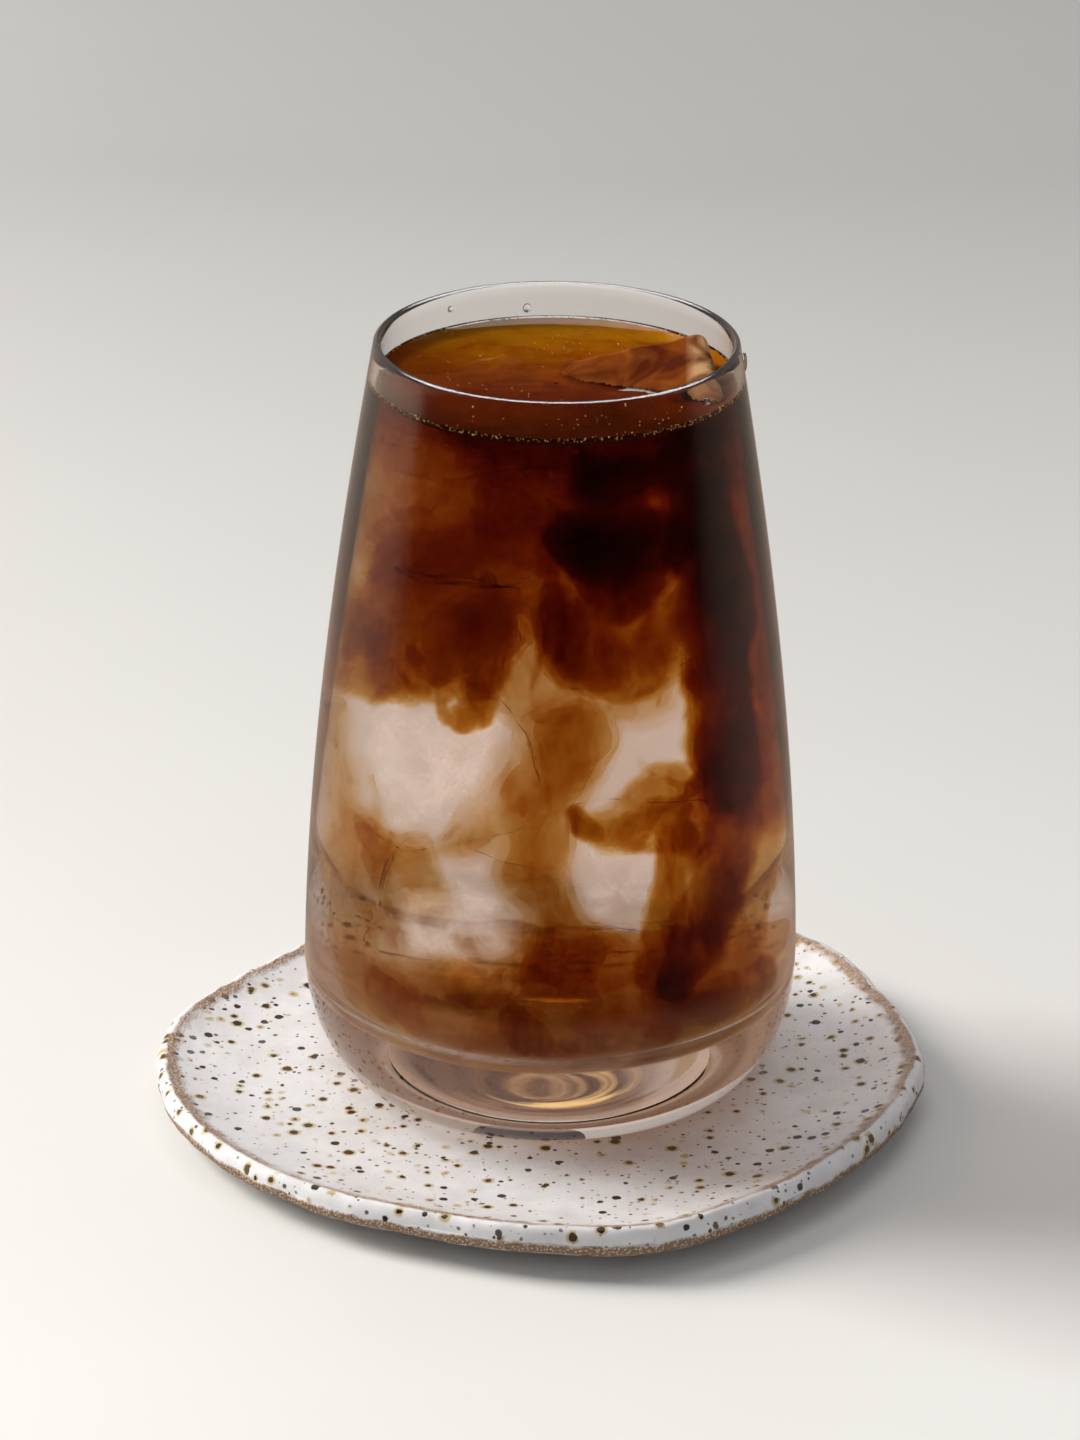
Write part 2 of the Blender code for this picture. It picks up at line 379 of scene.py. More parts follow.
crest = SAUCER_FLOOR + LIP_RISE
under = [(0.02, 0), (0.30, 0), (0.615, 0), (0.63, 0), (0.74, 0.7 * MM), (0.88, 2.4 * MM), (0.955, 3.2 * MM)]
edge = [
    (0.982, EDGE_LIFT + 0.1 * MM), (0.996, EDGE_LIFT + 1.1 * MM), (0.998, EDGE_LIFT + 2.7 * MM),
    (0.990, crest - 0.75 * MM), (0.976, crest - 0.08 * MM), (0.957, crest - 0.35 * MM),
]
slope = [
    (0.957 - (0.957 - FLOOR_SHARE) * s, SAUCER_FLOOR + (LIP_RISE - 0.35 * MM) * (1 - s) ** 2.2)
    for s in np.linspace(0, 1, 8)[1:]
]
top = [(share, SAUCER_FLOOR) for share in (0.60, 0.50, 0.38, 0.22, 0.02)]
SECTION_STEPS = 5
section = smooth_section(under + edge + slope + top, SECTION_STEPS)
print("saucer section", len(section), "points")


# %% [markdown]
# ## Soft random relief
# Clay, ice and coffee are all uneven in the same way: smooth swellings of a certain size. Lattice noise
# gives that. Random slopes sit on the corners of a grid, and every point between them gets a blend. The
# seed fixes the draw, so the same saucer comes out each time.

# %% Lattice noise
def lattice_noise(points, scale, seed):
    """Smooth noise between about -1 and 1 at every point; scale is the size of its swellings."""
    draw = np.random.RandomState(seed)
    order = draw.permutation(256)
    slopes = draw.normal(size=(256, 3))
    slopes /= np.linalg.norm(slopes, axis=1)[:, None]
    spot = points / scale
    cell = np.floor(spot).astype(int)
    part = spot - cell
    fade = part ** 3 * (part * (part * 6 - 15) + 10)
    total = np.zeros(len(points))
    for corner in np.ndindex(2, 2, 2):
        x, y, z = (cell[:, axis] + corner[axis] & 255 for axis in range(3))
        pick = order[(order[(order[x] + y) & 255] + z) & 255]
        dot = ((part - corner) * slopes[pick]).sum(1)
        weight = np.prod([fade[:, a] if corner[a] else 1 - fade[:, a] for a in range(3)], axis=0)
        total += weight * dot
    return total * 1.5


def read_out(bm):
    """Places and faces of a mesh under construction, which is then freed."""
    verts = np.array([vert.co[:] for vert in bm.verts])
    faces = [[vert.index for vert in face.verts] for face in bm.faces]
    bm.free()
    return verts, faces


def mesh_piece(name, verts, faces):
    """A smooth-shaded mesh object from arrays of places and faces."""
    mesh = bpy.data.meshes.new(name)
    mesh.from_pydata(verts.tolist(), [], [np.asarray(face).tolist() for face in faces])
    mesh.shade_smooth()
    piece = bpy.data.objects.new(name, mesh)
    bpy.context.collection.objects.link(piece)
    return piece


def ring_faces(rings, sides):
    """Quads between rings of points, each ring closed in itself."""
    faces = []
    for ring in range(rings - 1):
        for side in range(sides):
            after = (side + 1) % sides
            a, b = ring * sides, (ring + 1) * sides
            faces.append((a + side, a + after, b + after, b + side))
    return faces


# %% Sweep the saucer
SAUCER_SIDES = 420
LUMP_START, LUMP_RAMP = 0.72, 0.20      # where lumps begin and how soon they are full, in radii
LARGE_LUMPS, SMALL_LUMPS, WOBBLE = 11 * MM, 4.5 * MM, 9 * MM        # sizes of the swellings

azimuth = np.arange(SAUCER_SIDES) * math.tau / SAUCER_SIDES
edge_radius = outline_radius(azimuth)
mean_radius = np.mean([point[1] for point in SAUCER_OUTLINE]) * MM
share, height = section[:, :1], section[:, 1:]
follow = np.minimum(1.0, (share / FLOOR_SHARE) ** 3)
reach = share * (mean_radius + (edge_radius - mean_radius) * follow)
climb = np.clip((height - SAUCER_FLOOR) / LIP_RISE, 0, 1)
rise = height + LIP_RISE_WAVE * np.cos(azimuth - LIP_HIGH_SIDE) * climb
place = np.stack([reach * np.cos(azimuth), reach * np.sin(azimuth), rise + 0 * reach], -1).reshape(-1, 3)

large_lumps = 0.5 + 0.5 * lattice_noise(place, LARGE_LUMPS, 21)
small_lumps = 0.5 + 0.5 * lattice_noise(place, SMALL_LUMPS, 22)
near_edge = (np.clip((share - LUMP_START) / LUMP_RAMP, 0, 1) + 0 * reach).ravel()
press = (0.70 * large_lumps + 0.50 * small_lumps) * near_edge * MM
outward = place[:, :2] / np.maximum(np.linalg.norm(place[:, :2], axis=1), 1e-6)[:, None]
place[:, :2] -= outward * press[:, None]
on_top = ((np.arange(len(section)) >= SECTION_STEPS * (len(under) + 2))[:, None] + 0 * reach).ravel()
place[:, 2] -= on_top * press * 0.55
wobble = 0.10 * MM * lattice_noise(place, WOBBLE, 23) * on_top
place[:, 2] -= np.clip(wobble + 0.05 * MM, 0, None) * np.clip(near_edge + 0.3, 0, 1)
place[:, 2] = np.maximum(place[:, 2], 0.0)

count = len(section)
faces = ring_faces(count, SAUCER_SIDES)
faces.append(tuple(range(SAUCER_SIDES))[::-1])
faces.append(tuple((count - 1) * SAUCER_SIDES + side for side in range(SAUCER_SIDES)))
saucer = mesh_piece("speckled_saucer", place, faces)
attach(saucer, "root")
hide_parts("saucer")
print("saucer", len(faces), "faces")

# %% [markdown]
# ## Where the glaze breaks
# Fluid glaze runs off a sharp edge while it melts, and the iron in the clay comes through as a brown line
# on the lip's crest. Lower on the rim it was wiped off, and bare gritty clay shows. Both follow the section
# and not any flat direction, so they are written on the mesh as two numbers per point, with noise that
# makes them swell and fade along the edge.

# %% Write the glaze's two masks on the mesh
def bell(value, middle, width):
    """1 at the middle, falling to 0 a few widths away."""
    return np.exp(-((value - middle) / width) ** 2)


def write_mask(piece, name, values, on="POINT"):
    """Write one number per point or face on a piece's mesh."""
    values = np.asarray(values, np.float32)
    piece.data.attributes.new(name, "FLOAT", on).data.foreach_set("value", values)


along = (np.linspace(0, count - 1, count)[:, None] + 0 * reach).ravel()
crest_row = SECTION_STEPS * (len(under) + 4.8)
clay_row = SECTION_STEPS * (len(under) + 1.0)
patchy = 0.5 + 0.7 * lattice_noise(place, 16 * MM, 31) + 0.35 * lattice_noise(place, 5 * MM, 32)
ragged = lattice_noise(place, 1.6 * MM, 33)
break_line = bell(along + 1.8 * ragged, crest_row, 3.6) * np.clip(0.45 + 0.9 * patchy, 0, 1)
patchy = 0.6 + 0.6 * lattice_noise(place, 13 * MM, 34)
bare_clay = bell(along + 1.5 * ragged, clay_row, 4.2) * np.clip(0.55 + 0.9 * patchy, 0, 1)
bare_clay = np.maximum(bare_clay, along < SECTION_STEPS * (len(under) - 3))
write_mask(saucer, "break_line", break_line)
write_mask(saucer, "bare_clay", bare_clay)
print(f"break line on {100 * np.mean(break_line > 0.5):.1f} % of the points")

# %% [markdown]
# ## Speckled glaze
# The specks are iron grains that burn through the glaze, most with a dark core and some with an ochre halo.
# An image could not be used, and scattering real grains would be wasted on spots that lie flush. Two layers
# of Voronoi cells do it: each cell has a grain in its middle, and the cell's random colour sets the grain's
# size, so most cells stay empty. A bent coordinate makes the grains ragged.

# %% Layers of specks
def speck_layer(tree, where, cell_size, empty, largest, softness):
    """Spots with a random size: returns the spots, the cells' random colours, sizes and distances."""
    cells = add_node(tree, "TexVoronoi", Vector=where, Scale=1 / cell_size, Randomness=1.0)
    chance = add_node(tree, "SeparateColor", i0=cells.outputs["Color"])
    size = times(tree, calculate(tree, "SUBTRACT", chance, empty), largest / cell_size / (1 - empty))
    spot = times(tree, calculate(tree, "SUBTRACT", size, cells), softness, clamp=True)
    return spot, chance.outputs, size, cells


SPECK_DARK, SPECK_BROWN, HALO_OCHRE = (0.035, 0.016, 0.010), (0.13, 0.065, 0.032), (0.56, 0.40, 0.13)
PAINTED_SHADE_MIDDLE = (0, 14 * MM, 0)      # the shade of the drink on the glaze falls under the foot and behind it

glaze_material, tree = new_material("speckled_white_glaze")
where = own_place(tree)
ragged = noise(tree, where, 1400.0, 2.0)
bend = add_node(tree, "VectorMath", {"operation": "MULTIPLY_ADD"}, i0=ragged.outputs["Color"],
                i1=(0.5 * MM,) * 3, i2=where)
large, large_chance, large_size, large_gap = speck_layer(tree, bend, 2.3 * MM, 0.15, 0.90 * MM, 20.0)
small, small_chance, _, _ = speck_layer(tree, bend, 1.25 * MM, 0.25, 0.42 * MM, 11.0)
halo = calculate(tree, "SUBTRACT", times_plus(tree, large_size, 1.45, 0.09), large_gap)
has_halo = calculate(tree, "GREATER_THAN", large_chance[1], 0.50)
halo = times(tree, times(tree, times(tree, halo, 5.0, clamp=True), has_halo), 0.85)

mottle = noise(tree, where, 130.0, 6.0, roughness=0.62)
glaze = ramp(tree, mottle, [(0.32, (0.74, 0.72, 0.715)), (0.66, (0.87, 0.86, 0.87))])
glaze = blend_colours(tree, halo, glaze, HALO_OCHRE)
# painted shade of the glass and drink on the glaze; the specks fade out inside it
painted_shade = map_range(tree, how_far(tree, where, PAINTED_SHADE_MIDDLE), 41.0 * MM, 31.0 * MM)
unshaded = calculate(tree, "SUBTRACT", 1.0, painted_shade)
small = times(tree, small, times_plus(tree, small_chance[1], 0.5, 0.6, clamp=True))
glaze = blend_colours(tree, times(tree, small, unshaded), glaze, SPECK_BROWN)
large = times(tree, large, times_plus(tree, large_chance[2], 0.3, 0.82, clamp=True))
large = times(tree, large, unshaded)
glaze = blend_colours(tree, large, glaze, SPECK_DARK)

# %% [markdown]
# ## Light gathered under the foot
# The thick foot and the drink gather the light from behind into a warm pool on the glaze. A path tracer
# finds such light only by chance, so the pool is painted into the glaze's colour: painted shade in brown
# tones, darker on the left, and a small golden spot of painted light that glows a little.

# %% Painted shade and pool of light
POOL_MIDDLE = (0, 28 * MM, 0)       # the place that one sees through the foot
# painted shade and light under the foot: brown tones, darker on the left, lighter on the right and beside
POOL_BROWNS = [(0.40, (0.22, 0.11, 0.06)), (0.62, (0.48, 0.27, 0.15))]
POOL_LEFT, POOL_RIGHT, POOL_BESIDE = (0.16, 0.085, 0.05), (0.60, 0.48, 0.42), (0.58, 0.38, 0.27)
GOLD_MIDDLE, GOLD_STRETCH = (1.0 * MM, 31.62 * MM, 0), (250.0, 370.0, 0)
GOLD_COLOUR, GOLD_LIGHT, GOLD_GLOW = (1.0, 0.74, 0.38), (1.0, 0.64, 0.26, 1), 0.62

drawn_out = add_node(tree, "VectorMath", {"operation": "MULTIPLY"}, i0=where, i1=(190.0, 800.0, 0))
pool = noise(tree, drawn_out, 1.0, 3.0, 1.0)
sideways = axis_of(tree, where, "X")
tone = ramp(tree, pool, POOL_BROWNS)
tone = blend_colours(tree, map_range(tree, sideways, -3.0 * MM, -6.5 * MM), tone, POOL_LEFT)
tone = blend_colours(tree, map_range(tree, sideways, 3.6 * MM, 6.2 * MM), tone, POOL_RIGHT)
beside = map_range(tree, how_far(tree, where, POOL_MIDDLE), 10.0 * MM, 14.0 * MM)
tone = blend_colours(tree, beside, tone, POOL_BESIDE)
gold = calculate(tree, "SUBTRACT", -0.12, how_far(tree, where, GOLD_MIDDLE, GOLD_STRETCH))
gold = times(tree, times_plus(tree, pool, 2.4, gold), 1.4, clamp=True)
gold = times(tree, gold, map_range(tree, how_far(tree, where), 33.0 * MM, 31.0 * MM))
tone = blend_colours(tree, gold, tone, GOLD_COLOUR)
stain_and_painted_light = blend_colours(tree, calculate(tree, "POWER", painted_shade, 1.6), (1.0, 1.0, 1.0), tone)
glaze = blend_colours(tree, 1.0, glaze, stain_and_painted_light, "MULTIPLY")

# %% Bare clay, relief and shine
grit = add_node(tree, "TexVoronoi", Vector=where, Scale=1900.0)
grit_tone = ramp(tree, grit, [(0.12, (0.80, 0.66, 0.50)), (0.5, (0.34, 0.20, 0.12))])
rust = ramp(tree, ragged, [(0.35, (0.22, 0.11, 0.055)), (0.65, (0.50, 0.31, 0.18))])
broken = calculate(tree, "SUBTRACT", mask(tree, "break_line"), 0.25)
broken = times(tree, times(tree, broken, 2.2, clamp=True), 0.85)
clay = times(tree, calculate(tree, "SUBTRACT", mask(tree, "bare_clay"), 0.35), 3.0, clamp=True)
glaze = blend_colours(tree, clay, blend_colours(tree, broken, glaze, rust), grit_tone)

gritty = calculate(tree, "MAXIMUM", clay, times(tree, broken, 0.5))
height = times(tree, grit, times(tree, gritty, 0.6 * MM))
height = calculate(tree, "ADD", height, times(tree, mottle, 0.22 * MM))
height = calculate(tree, "ADD", height, times(tree, large, -0.12 * MM))
bump = add_node(tree, "Bump", Height=height, Distance=1.0, Strength=0.8)
painted_glow = times(tree, times(tree, gold, gold), GOLD_GLOW)
shader = add_node(tree, "BsdfPrincipled", Base_Color=glaze, Roughness=times_plus(tree, clay, 0.45, 0.30),
                  Normal=bump, Coat_Weight=0.25, Coat_Roughness=0.12, Specular_IOR_Level=0.5,
                  Emission_Color=GOLD_LIGHT, Emission_Strength=painted_glow)
finish(glaze_material, shader, saucer)
print("glaze of", len(tree.nodes), "nodes")

# %% [markdown]
# ## The tumbler's form
# A tumbler is a turned shape: one outline swept round an axis. A Screw modifier would do it too, but the
# same outline also decides where the drink and the clouds end, so it is written as functions that give
# the radius at any height. The mesh has many more sides than the solid, because a lens made of flat facets
# would break the picture behind it into strips.

# %% Tumbler sizes
MAX_RADIUS = glass_high[0]
MAX_RADIUS_HEIGHT = 22.0 * MM
RIM_RADIUS = 29.4 * MM
FOOT_RADIUS = 28.0 * MM
PUNT_RADIUS, PUNT_DEPTH = 21.5 * MM, 1.0 * MM
BODY_TAPER = (0.18, 1.06, -0.24)
RIM_WALL, LOW_WALL = 1.3 * MM, 2.1 * MM
INSIDE_FLOOR, INSIDE_CORNER_TOP = 13.0 * MM, 28.0 * MM


def body_radius(height):
    """Outer radius above the widest ring; works on numbers and on arrays."""
    share = np.clip((height - MAX_RADIUS_HEIGHT) / (GLASS_HEIGHT - MAX_RADIUS_HEIGHT), 0.0, 1.0)
    taper = sum(weight * share ** (power + 1) for power, weight in enumerate(BODY_TAPER))
    return MAX_RADIUS - (MAX_RADIUS - RIM_RADIUS) * taper


def inside_radius(height):
    """Inner radius of the wall above the rounded corner inside."""
    share = np.clip((height - INSIDE_CORNER_TOP) / (GLASS_HEIGHT - INSIDE_CORNER_TOP), 0.0, 1.0)
    return body_radius(height) - LOW_WALL + (LOW_WALL - RIM_WALL) * share


CORNER_RADIUS = float(inside_radius(INSIDE_CORNER_TOP))
print(f"inside radius {CORNER_RADIUS / MM:.1f} mm low, {inside_radius(FILL_HEIGHT) / MM:.1f} at the drink")


# %% Sweep the tumbler
GLASS_SIDES = 192


def quarter(inner, outer, low, high, count):
    """A quarter ellipse from a level floor to an upright wall."""
    angle = np.linspace(0.0, math.pi / 2, count + 1)
    return list(zip(inner + (outer - inner) * np.sin(angle), low + (high - low) * (1 - np.cos(angle))))


def turned(name, profile, sides=GLASS_SIDES):
    """Sweep (radius, height) points round the axis; both ends are closed by a fan at the axis."""
    angle = np.arange(sides) * (math.tau / sides)
    ring = np.stack([np.cos(angle), np.sin(angle)], 1)
    rings = [np.column_stack([ring * r, np.full(sides, z + GLASS_BASE)]) for r, z in profile]
    ends = np.array([(0.0, 0.0, profile[0][1] + GLASS_BASE), (0.0, 0.0, profile[-1][1] + GLASS_BASE)])
    last = (len(profile) - 1) * sides
    foot, top = len(profile) * sides, len(profile) * sides + 1
    faces = []
    for side in range(sides):
        after = (side + 1) % sides
        faces.append((foot, after, side))
        faces.append((top, last + side, last + after))
        for level in range(0, last, sides):
            faces.append((level + side, level + after, level + sides + after, level + sides + side))
    return mesh_piece(name, np.concatenate(rings + [ends]), faces)


CORNER_START, CORNER_POWER = 10.0 * MM, 2.6


def inside_floor(reach):
    """Height of the floor inside at a distance from the axis: level, then a soft round corner."""
    share = np.clip((reach - CORNER_START) / (CORNER_RADIUS - CORNER_START), 0, 1)
    drop = (1 - share ** CORNER_POWER) ** (1 / CORNER_POWER)
    return INSIDE_CORNER_TOP - (INSIDE_CORNER_TOP - INSIDE_FLOOR) * drop


rim_round = RIM_WALL / 2
shoulder = GLASS_HEIGHT - rim_round
outside = [(PUNT_RADIUS * k, PUNT_DEPTH * (1 - k ** 3)) for k in np.linspace(0.1, 1, 12)]
outside += quarter(FOOT_RADIUS - 1.0 * MM, MAX_RADIUS, 0.0, MAX_RADIUS_HEIGHT, 28)
outside += [(body_radius(z), z) for z in np.linspace(MAX_RADIUS_HEIGHT, shoulder, 60)[1:]]
rim_middle = float(body_radius(shoulder)) - rim_round
rim_angle = np.linspace(0, math.pi, 11)[1:-1]
rim = [(rim_middle + rim_round * math.cos(a), shoulder + rim_round * math.sin(a)) for a in rim_angle]
corner_reach = CORNER_START + (CORNER_RADIUS - CORNER_START) * np.sin(np.linspace(0, math.pi / 2, 33))
corner = [(float(r), float(inside_floor(r))) for r in corner_reach]
inside = corner + [(inside_radius(z), z) for z in np.linspace(INSIDE_CORNER_TOP, shoulder, 56)[1:]]
glass = turned("tumbler_glass", outside + rim + inside[::-1])
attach(glass, "root")
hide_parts("tumbler")
print("tumbler", len(glass.data.polygons), "faces")

# %% [markdown]
# ## Clear glass, dry and wet
# A glass shader alone stops the lamps: what is inside gets light only by chance, as caustics, and comes out
# dark and noisy. So the rays that go from a surface to a lamp see the same piece as plain transparent. All
# other rays see real glass with its index of refraction. Behind the drink the wall is wet: light goes from
# glass straight into water, which bends it far less than air does and mirrors almost nothing. Those faces
# get a second material with the index of glass against water.

# %% Glass material
def clear_material(name, ior, roughness=0.0, colour=(1, 1, 1, 1), marks=None):
    """A clear material that lets the lamps through, with its tree and its last shader."""
    material, tree = new_material(name)
    clear = add_node(tree, "BsdfPrincipled", Base_Color=colour, Roughness=roughness, IOR=ior,
                     Transmission_Weight=1.0)
    if marks:
        tree.links.new(relief(tree, *marks).outputs[0], clear.inputs["Normal"])
    to_lamp = add_node(tree, "LightPath").outputs["Is Shadow Ray"]
    open_way = add_node(tree, "BsdfTransparent", Color=SHADE_OF_GLASS)
    return material, tree, mix_shaders(tree, to_lamp, clear, open_way)


GLASS_IOR, WATER_IOR = 1.5, 1.333
SHADE_OF_GLASS = (0.76, 0.75, 0.74, 1)
DRAW_MARKS = (45.0, 1.0, 0.06 * MM, 0.5)            # scale, detail, depth and strength of the wall's waves
CREEP_HEIGHT, CREEP_WIDTH = 1.0 * MM, 2.4 * MM      # how far the drink creeps up the wall

for name, ior in (("dry_glass", GLASS_IOR), ("wet_glass", GLASS_IOR / WATER_IOR)):
    material, tree, surface = clear_material(name, ior, marks=DRAW_MARKS)
    finish(material, surface, glass)

# %% [markdown]
# ## The wet foot
# A cold glass gathers water under its foot. Glass, water and glaze then touch without air between them, and
# one looks through the foot straight on the glaze below. So the faces that stand on the saucer bend nothing.

# %% Wet faces and the foot
CONTACT_HEIGHT = 1.8 * MM

material, tree = new_material("foot_contact")
finish(material, add_node(tree, "BsdfTransparent", Color=(0.94, 0.90, 0.87, 1)), glass)
wet_top = GLASS_BASE + FILL_HEIGHT + CREEP_HEIGHT
wet_faces = 0
for face in glass.data.polygons:
    middle = face.center
    to_axis = face.normal.x * middle.x + face.normal.y * middle.y < -1e-6 or face.normal.z > 0.7
    wet = middle.z < wet_top and middle.z > GLASS_BASE + INSIDE_FLOOR - 0.1 * MM and to_axis
    standing = middle.z < GLASS_BASE + CONTACT_HEIGHT and face.normal.z < 0
    face.material_index = 2 if standing else int(wet)
    wet_faces += wet
print(wet_faces, "wet faces")

# %% [markdown]
# ## The drink
# The drink fills the glass, so its skin reaches a hair's breadth into the wall. With a gap there, a film of
# air would mirror the light and the drink would look like a block in a jar. Water also creeps up the wall
# by about a millimetre, and ripples stand where coffee was poured and where the ice breaks the surface.
# The sides are turned like the glass. The surface is a finer fan of rings with its own relief.

# %% Sweep the drink
WALL_BITE = 0.15 * MM
RIPPLES = ((9 * MM, 0.30 * MM, 41), (3 * MM, 0.10 * MM, 42))        # size, height and seed

SURFACE_RADIUS = float(inside_radius(FILL_HEIGHT))
bite = WALL_BITE * np.linspace(0, 1, len(corner))
sides_profile = [(r + more, z - WALL_BITE) for more, (r, z) in zip(bite, corner)]
wall_heights = np.linspace(INSIDE_CORNER_TOP, FILL_HEIGHT + CREEP_HEIGHT, 56)[1:]
sides_profile += [(inside_radius(z) + WALL_BITE, z) for z in wall_heights]
surface_rings = SURFACE_RADIUS - CREEP_WIDTH * np.linspace(0, 1, 9)[1:]
surface_rings = np.concatenate([surface_rings, np.linspace(surface_rings[-1], 0.4 * MM, 60)[1:]])
surface_profile = [(r, FILL_HEIGHT) for r in surface_rings]
drink = turned("iced_coffee", sides_profile + surface_profile)

surface = np.empty(len(drink.data.vertices) * 3, np.float32)
drink.data.vertices.foreach_get("co", surface)
surface = surface.reshape(-1, 3).astype(float)
first = len(sides_profile) * GLASS_SIDES
top = np.r_[first:first + len(surface_profile) * GLASS_SIDES, len(surface) - 1]
reach = np.hypot(surface[top, 0], surface[top, 1])
creep = CREEP_HEIGHT * np.clip(1 - (SURFACE_RADIUS - reach) / CREEP_WIDTH, 0, 1) ** 2
flat_places = surface[top] * (1, 1, 0)
calm = np.clip((SURFACE_RADIUS - reach) / (4 * MM), 0, 1)
ripple = sum(tall * lattice_noise(flat_places, size, seed) for size, tall, seed in RIPPLES)
surface[top, 2] += creep + ripple * calm
drink.data.vertices.foreach_set("co", surface.astype(np.float32).ravel())
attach(drink, "root")
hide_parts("drink")
print(f"surface of {len(top)} points, {np.ptp(surface[top, 2]) / MM:.2f} mm from lowest to highest")

# %% [markdown]
# ## One finish for the whole drink
# The drink is one body of tinted water, and a renderer only knows that a ray has left it if the ray leaves
# through the same material by which it came in. So there is one material for all of it, and two masks on
# the mesh tell its parts from each other: the surface bends light as water does, the sides touch the glass
# and change nothing, and in the rounded corner of the floor lies a sheet of settled solids that also glows,
# as painted light for the coffee's light that shines down into the foot.

# %% Masks for the surface and the floor
first_surface_row = first - GLASS_SIDES
is_surface, is_floor = [], []
for face in drink.data.polygons:
    on_surface = min(face.vertices) >= first_surface_row and face.center.z > GLASS_BASE + FILL_HEIGHT - MM
    is_surface.append(float(on_surface))
    is_floor.append(float(face.center.z < GLASS_BASE + INSIDE_CORNER_TOP))
write_mask(drink, "is_surface", is_surface, "FACE")
write_mask(drink, "is_floor", is_floor, "FACE")
print(int(sum(is_surface)), "faces on the surface,", int(sum(is_floor)), "on the floor")

# %% Watery coffee
HAZE_COLOUR, HAZE_DENSITY = (0.58, 0.22, 0.0, 1), 10.5
SURFACE_SHEEN = (0.10, 0.10, 0.11, 1)
# painted light: the floor sheet's cover, rising towards the back, and its glow stand in for the coffee's
# light that shines down into the foot
FLOOR_COVER_FRONT, FLOOR_COVER_BACK, FLOOR_COVER_INSIDE = 0.12, 0.68, 0.50
PAINTED_FLOOR_GLOW = 0.55

drink_material, tree = new_material("watery_coffee")
bent_way = add_node(tree, "BsdfRefraction", IOR=WATER_IOR, Roughness=0.0)
mirrored_way = add_node(tree, "BsdfGlossy", Color=SURFACE_SHEEN, Roughness=0.03)
open_way = add_node(tree, "BsdfTransparent")
water = mix_shaders(tree, add_node(tree, "Fresnel", IOR=WATER_IOR), bent_way, mirrored_way)
water = mix_shaders(tree, add_node(tree, "LightPath").outputs["Is Shadow Ray"], water, open_way)

# %% Settled solids and painted glow in the floor's corner
SETTLED_AND_GLOW_TONES = [(0.35, (0.22, 0.10, 0.055)), (0.52, (0.48, 0.29, 0.19)), (0.66, (0.70, 0.42, 0.14))]
INNER_TONES = [(0.38, (0.80, 0.58, 0.42)), (0.62, (0.95, 0.90, 0.86))]
CORNER_TOP = GLASS_BASE + INSIDE_CORNER_TOP

where = own_place(tree)
settled_and_glow = noise(tree, where, 60.0, 4.0, 1.2)
inner_side = add_node(tree, "NewGeometry").outputs["Backfacing"]
tone = blend_colours(tree, inner_side, ramp(tree, settled_and_glow, SETTLED_AND_GLOW_TONES), ramp(tree, settled_and_glow, INNER_TONES))
cover = map_range(tree, axis_of(tree, where, "Y"), -16 * MM, 4 * MM, FLOOR_COVER_FRONT, FLOOR_COVER_BACK)
cover = add_node(tree, "Mix", i0=inner_side, i2=cover, i3=FLOOR_COVER_INSIDE)
cover = times(tree, cover, map_range(tree, axis_of(tree, where, "Z"), CORNER_TOP, CORNER_TOP - 7.0 * MM))
cover = times(tree, cover, mask(tree, "is_floor"))
# settled coffee solids and painted light: the sheet glows when seen from below, and covers more towards the
# back
solids = add_node(tree, "BsdfDiffuse", Color=tone)
painted_glow = add_node(tree, "Emission", Color=tone, Strength=times_plus(tree, inner_side, -PAINTED_FLOOR_GLOW, PAINTED_FLOOR_GLOW))
solids = add_node(tree, "AddShader", i0=solids, i1=painted_glow)
sides = mix_shaders(tree, cover, open_way, solids)
haze = add_node(tree, "VolumeAbsorption", Color=HAZE_COLOUR, Density=HAZE_DENSITY)
finish(drink_material, mix_shaders(tree, mask(tree, "is_surface"), sides, water), drink, Volume=haze)
print("drink finish of", len(tree.nodes), "nodes")

# %% [markdown]
# ## The film under the surface
# Seen from above, a drink is not clear: fine coffee solids and oil hang just under the surface and send
# light back. Without them one would look down into a dark hole. The film is one thin sheet that follows the
# ripples a little below the surface. Its colour is red-brown over the ice and is painted lighter,
# olive-amber, towards the far edge, where light comes through the drink from behind.

# %% Film sheet
FILM_DEPTH = 0.9 * MM

film_rows = np.arange(len(surface_profile)) + len(sides_profile)
film_places = surface[(film_rows[:, None] * GLASS_SIDES + np.arange(GLASS_SIDES)).ravel()].copy()
from_wall = SURFACE_RADIUS - np.hypot(film_places[:, 0], film_places[:, 1])
film_places[:, :2] *= (SURFACE_RADIUS - 0.03 * MM) / SURFACE_RADIUS
film_places[:, 2] -= FILM_DEPTH * np.clip(from_wall / (2.5 * MM), 0.12, 1)
film_faces = ring_faces(len(surface_profile), GLASS_SIDES)
film = mesh_piece("coffee_film", film_places, film_faces)
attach(film, "root")

# %% Film colours
FILM_COVER = 0.80
FILM_TONES = [
    (0.10, (0.055, 0.008, 0.0005)), (0.40, (0.14, 0.018, 0.001)), (0.60, (0.25, 0.052, 0.0015)),
    (0.78, (0.40, 0.125, 0.002)), (0.95, (0.52, 0.21, 0.005)),
]

film_material, tree = new_material("coffee_film")
where = own_place(tree)
swirl = noise(tree, where, 55.0, 4.0, 1.6)
stretch = add_node(tree, "Mapping", Vector=where, Scale=(60.0, 210.0, 60.0), Rotation=(0, 0, 0.3))
streaks = noise(tree, stretch, 1.0, 3.0, 1.0)
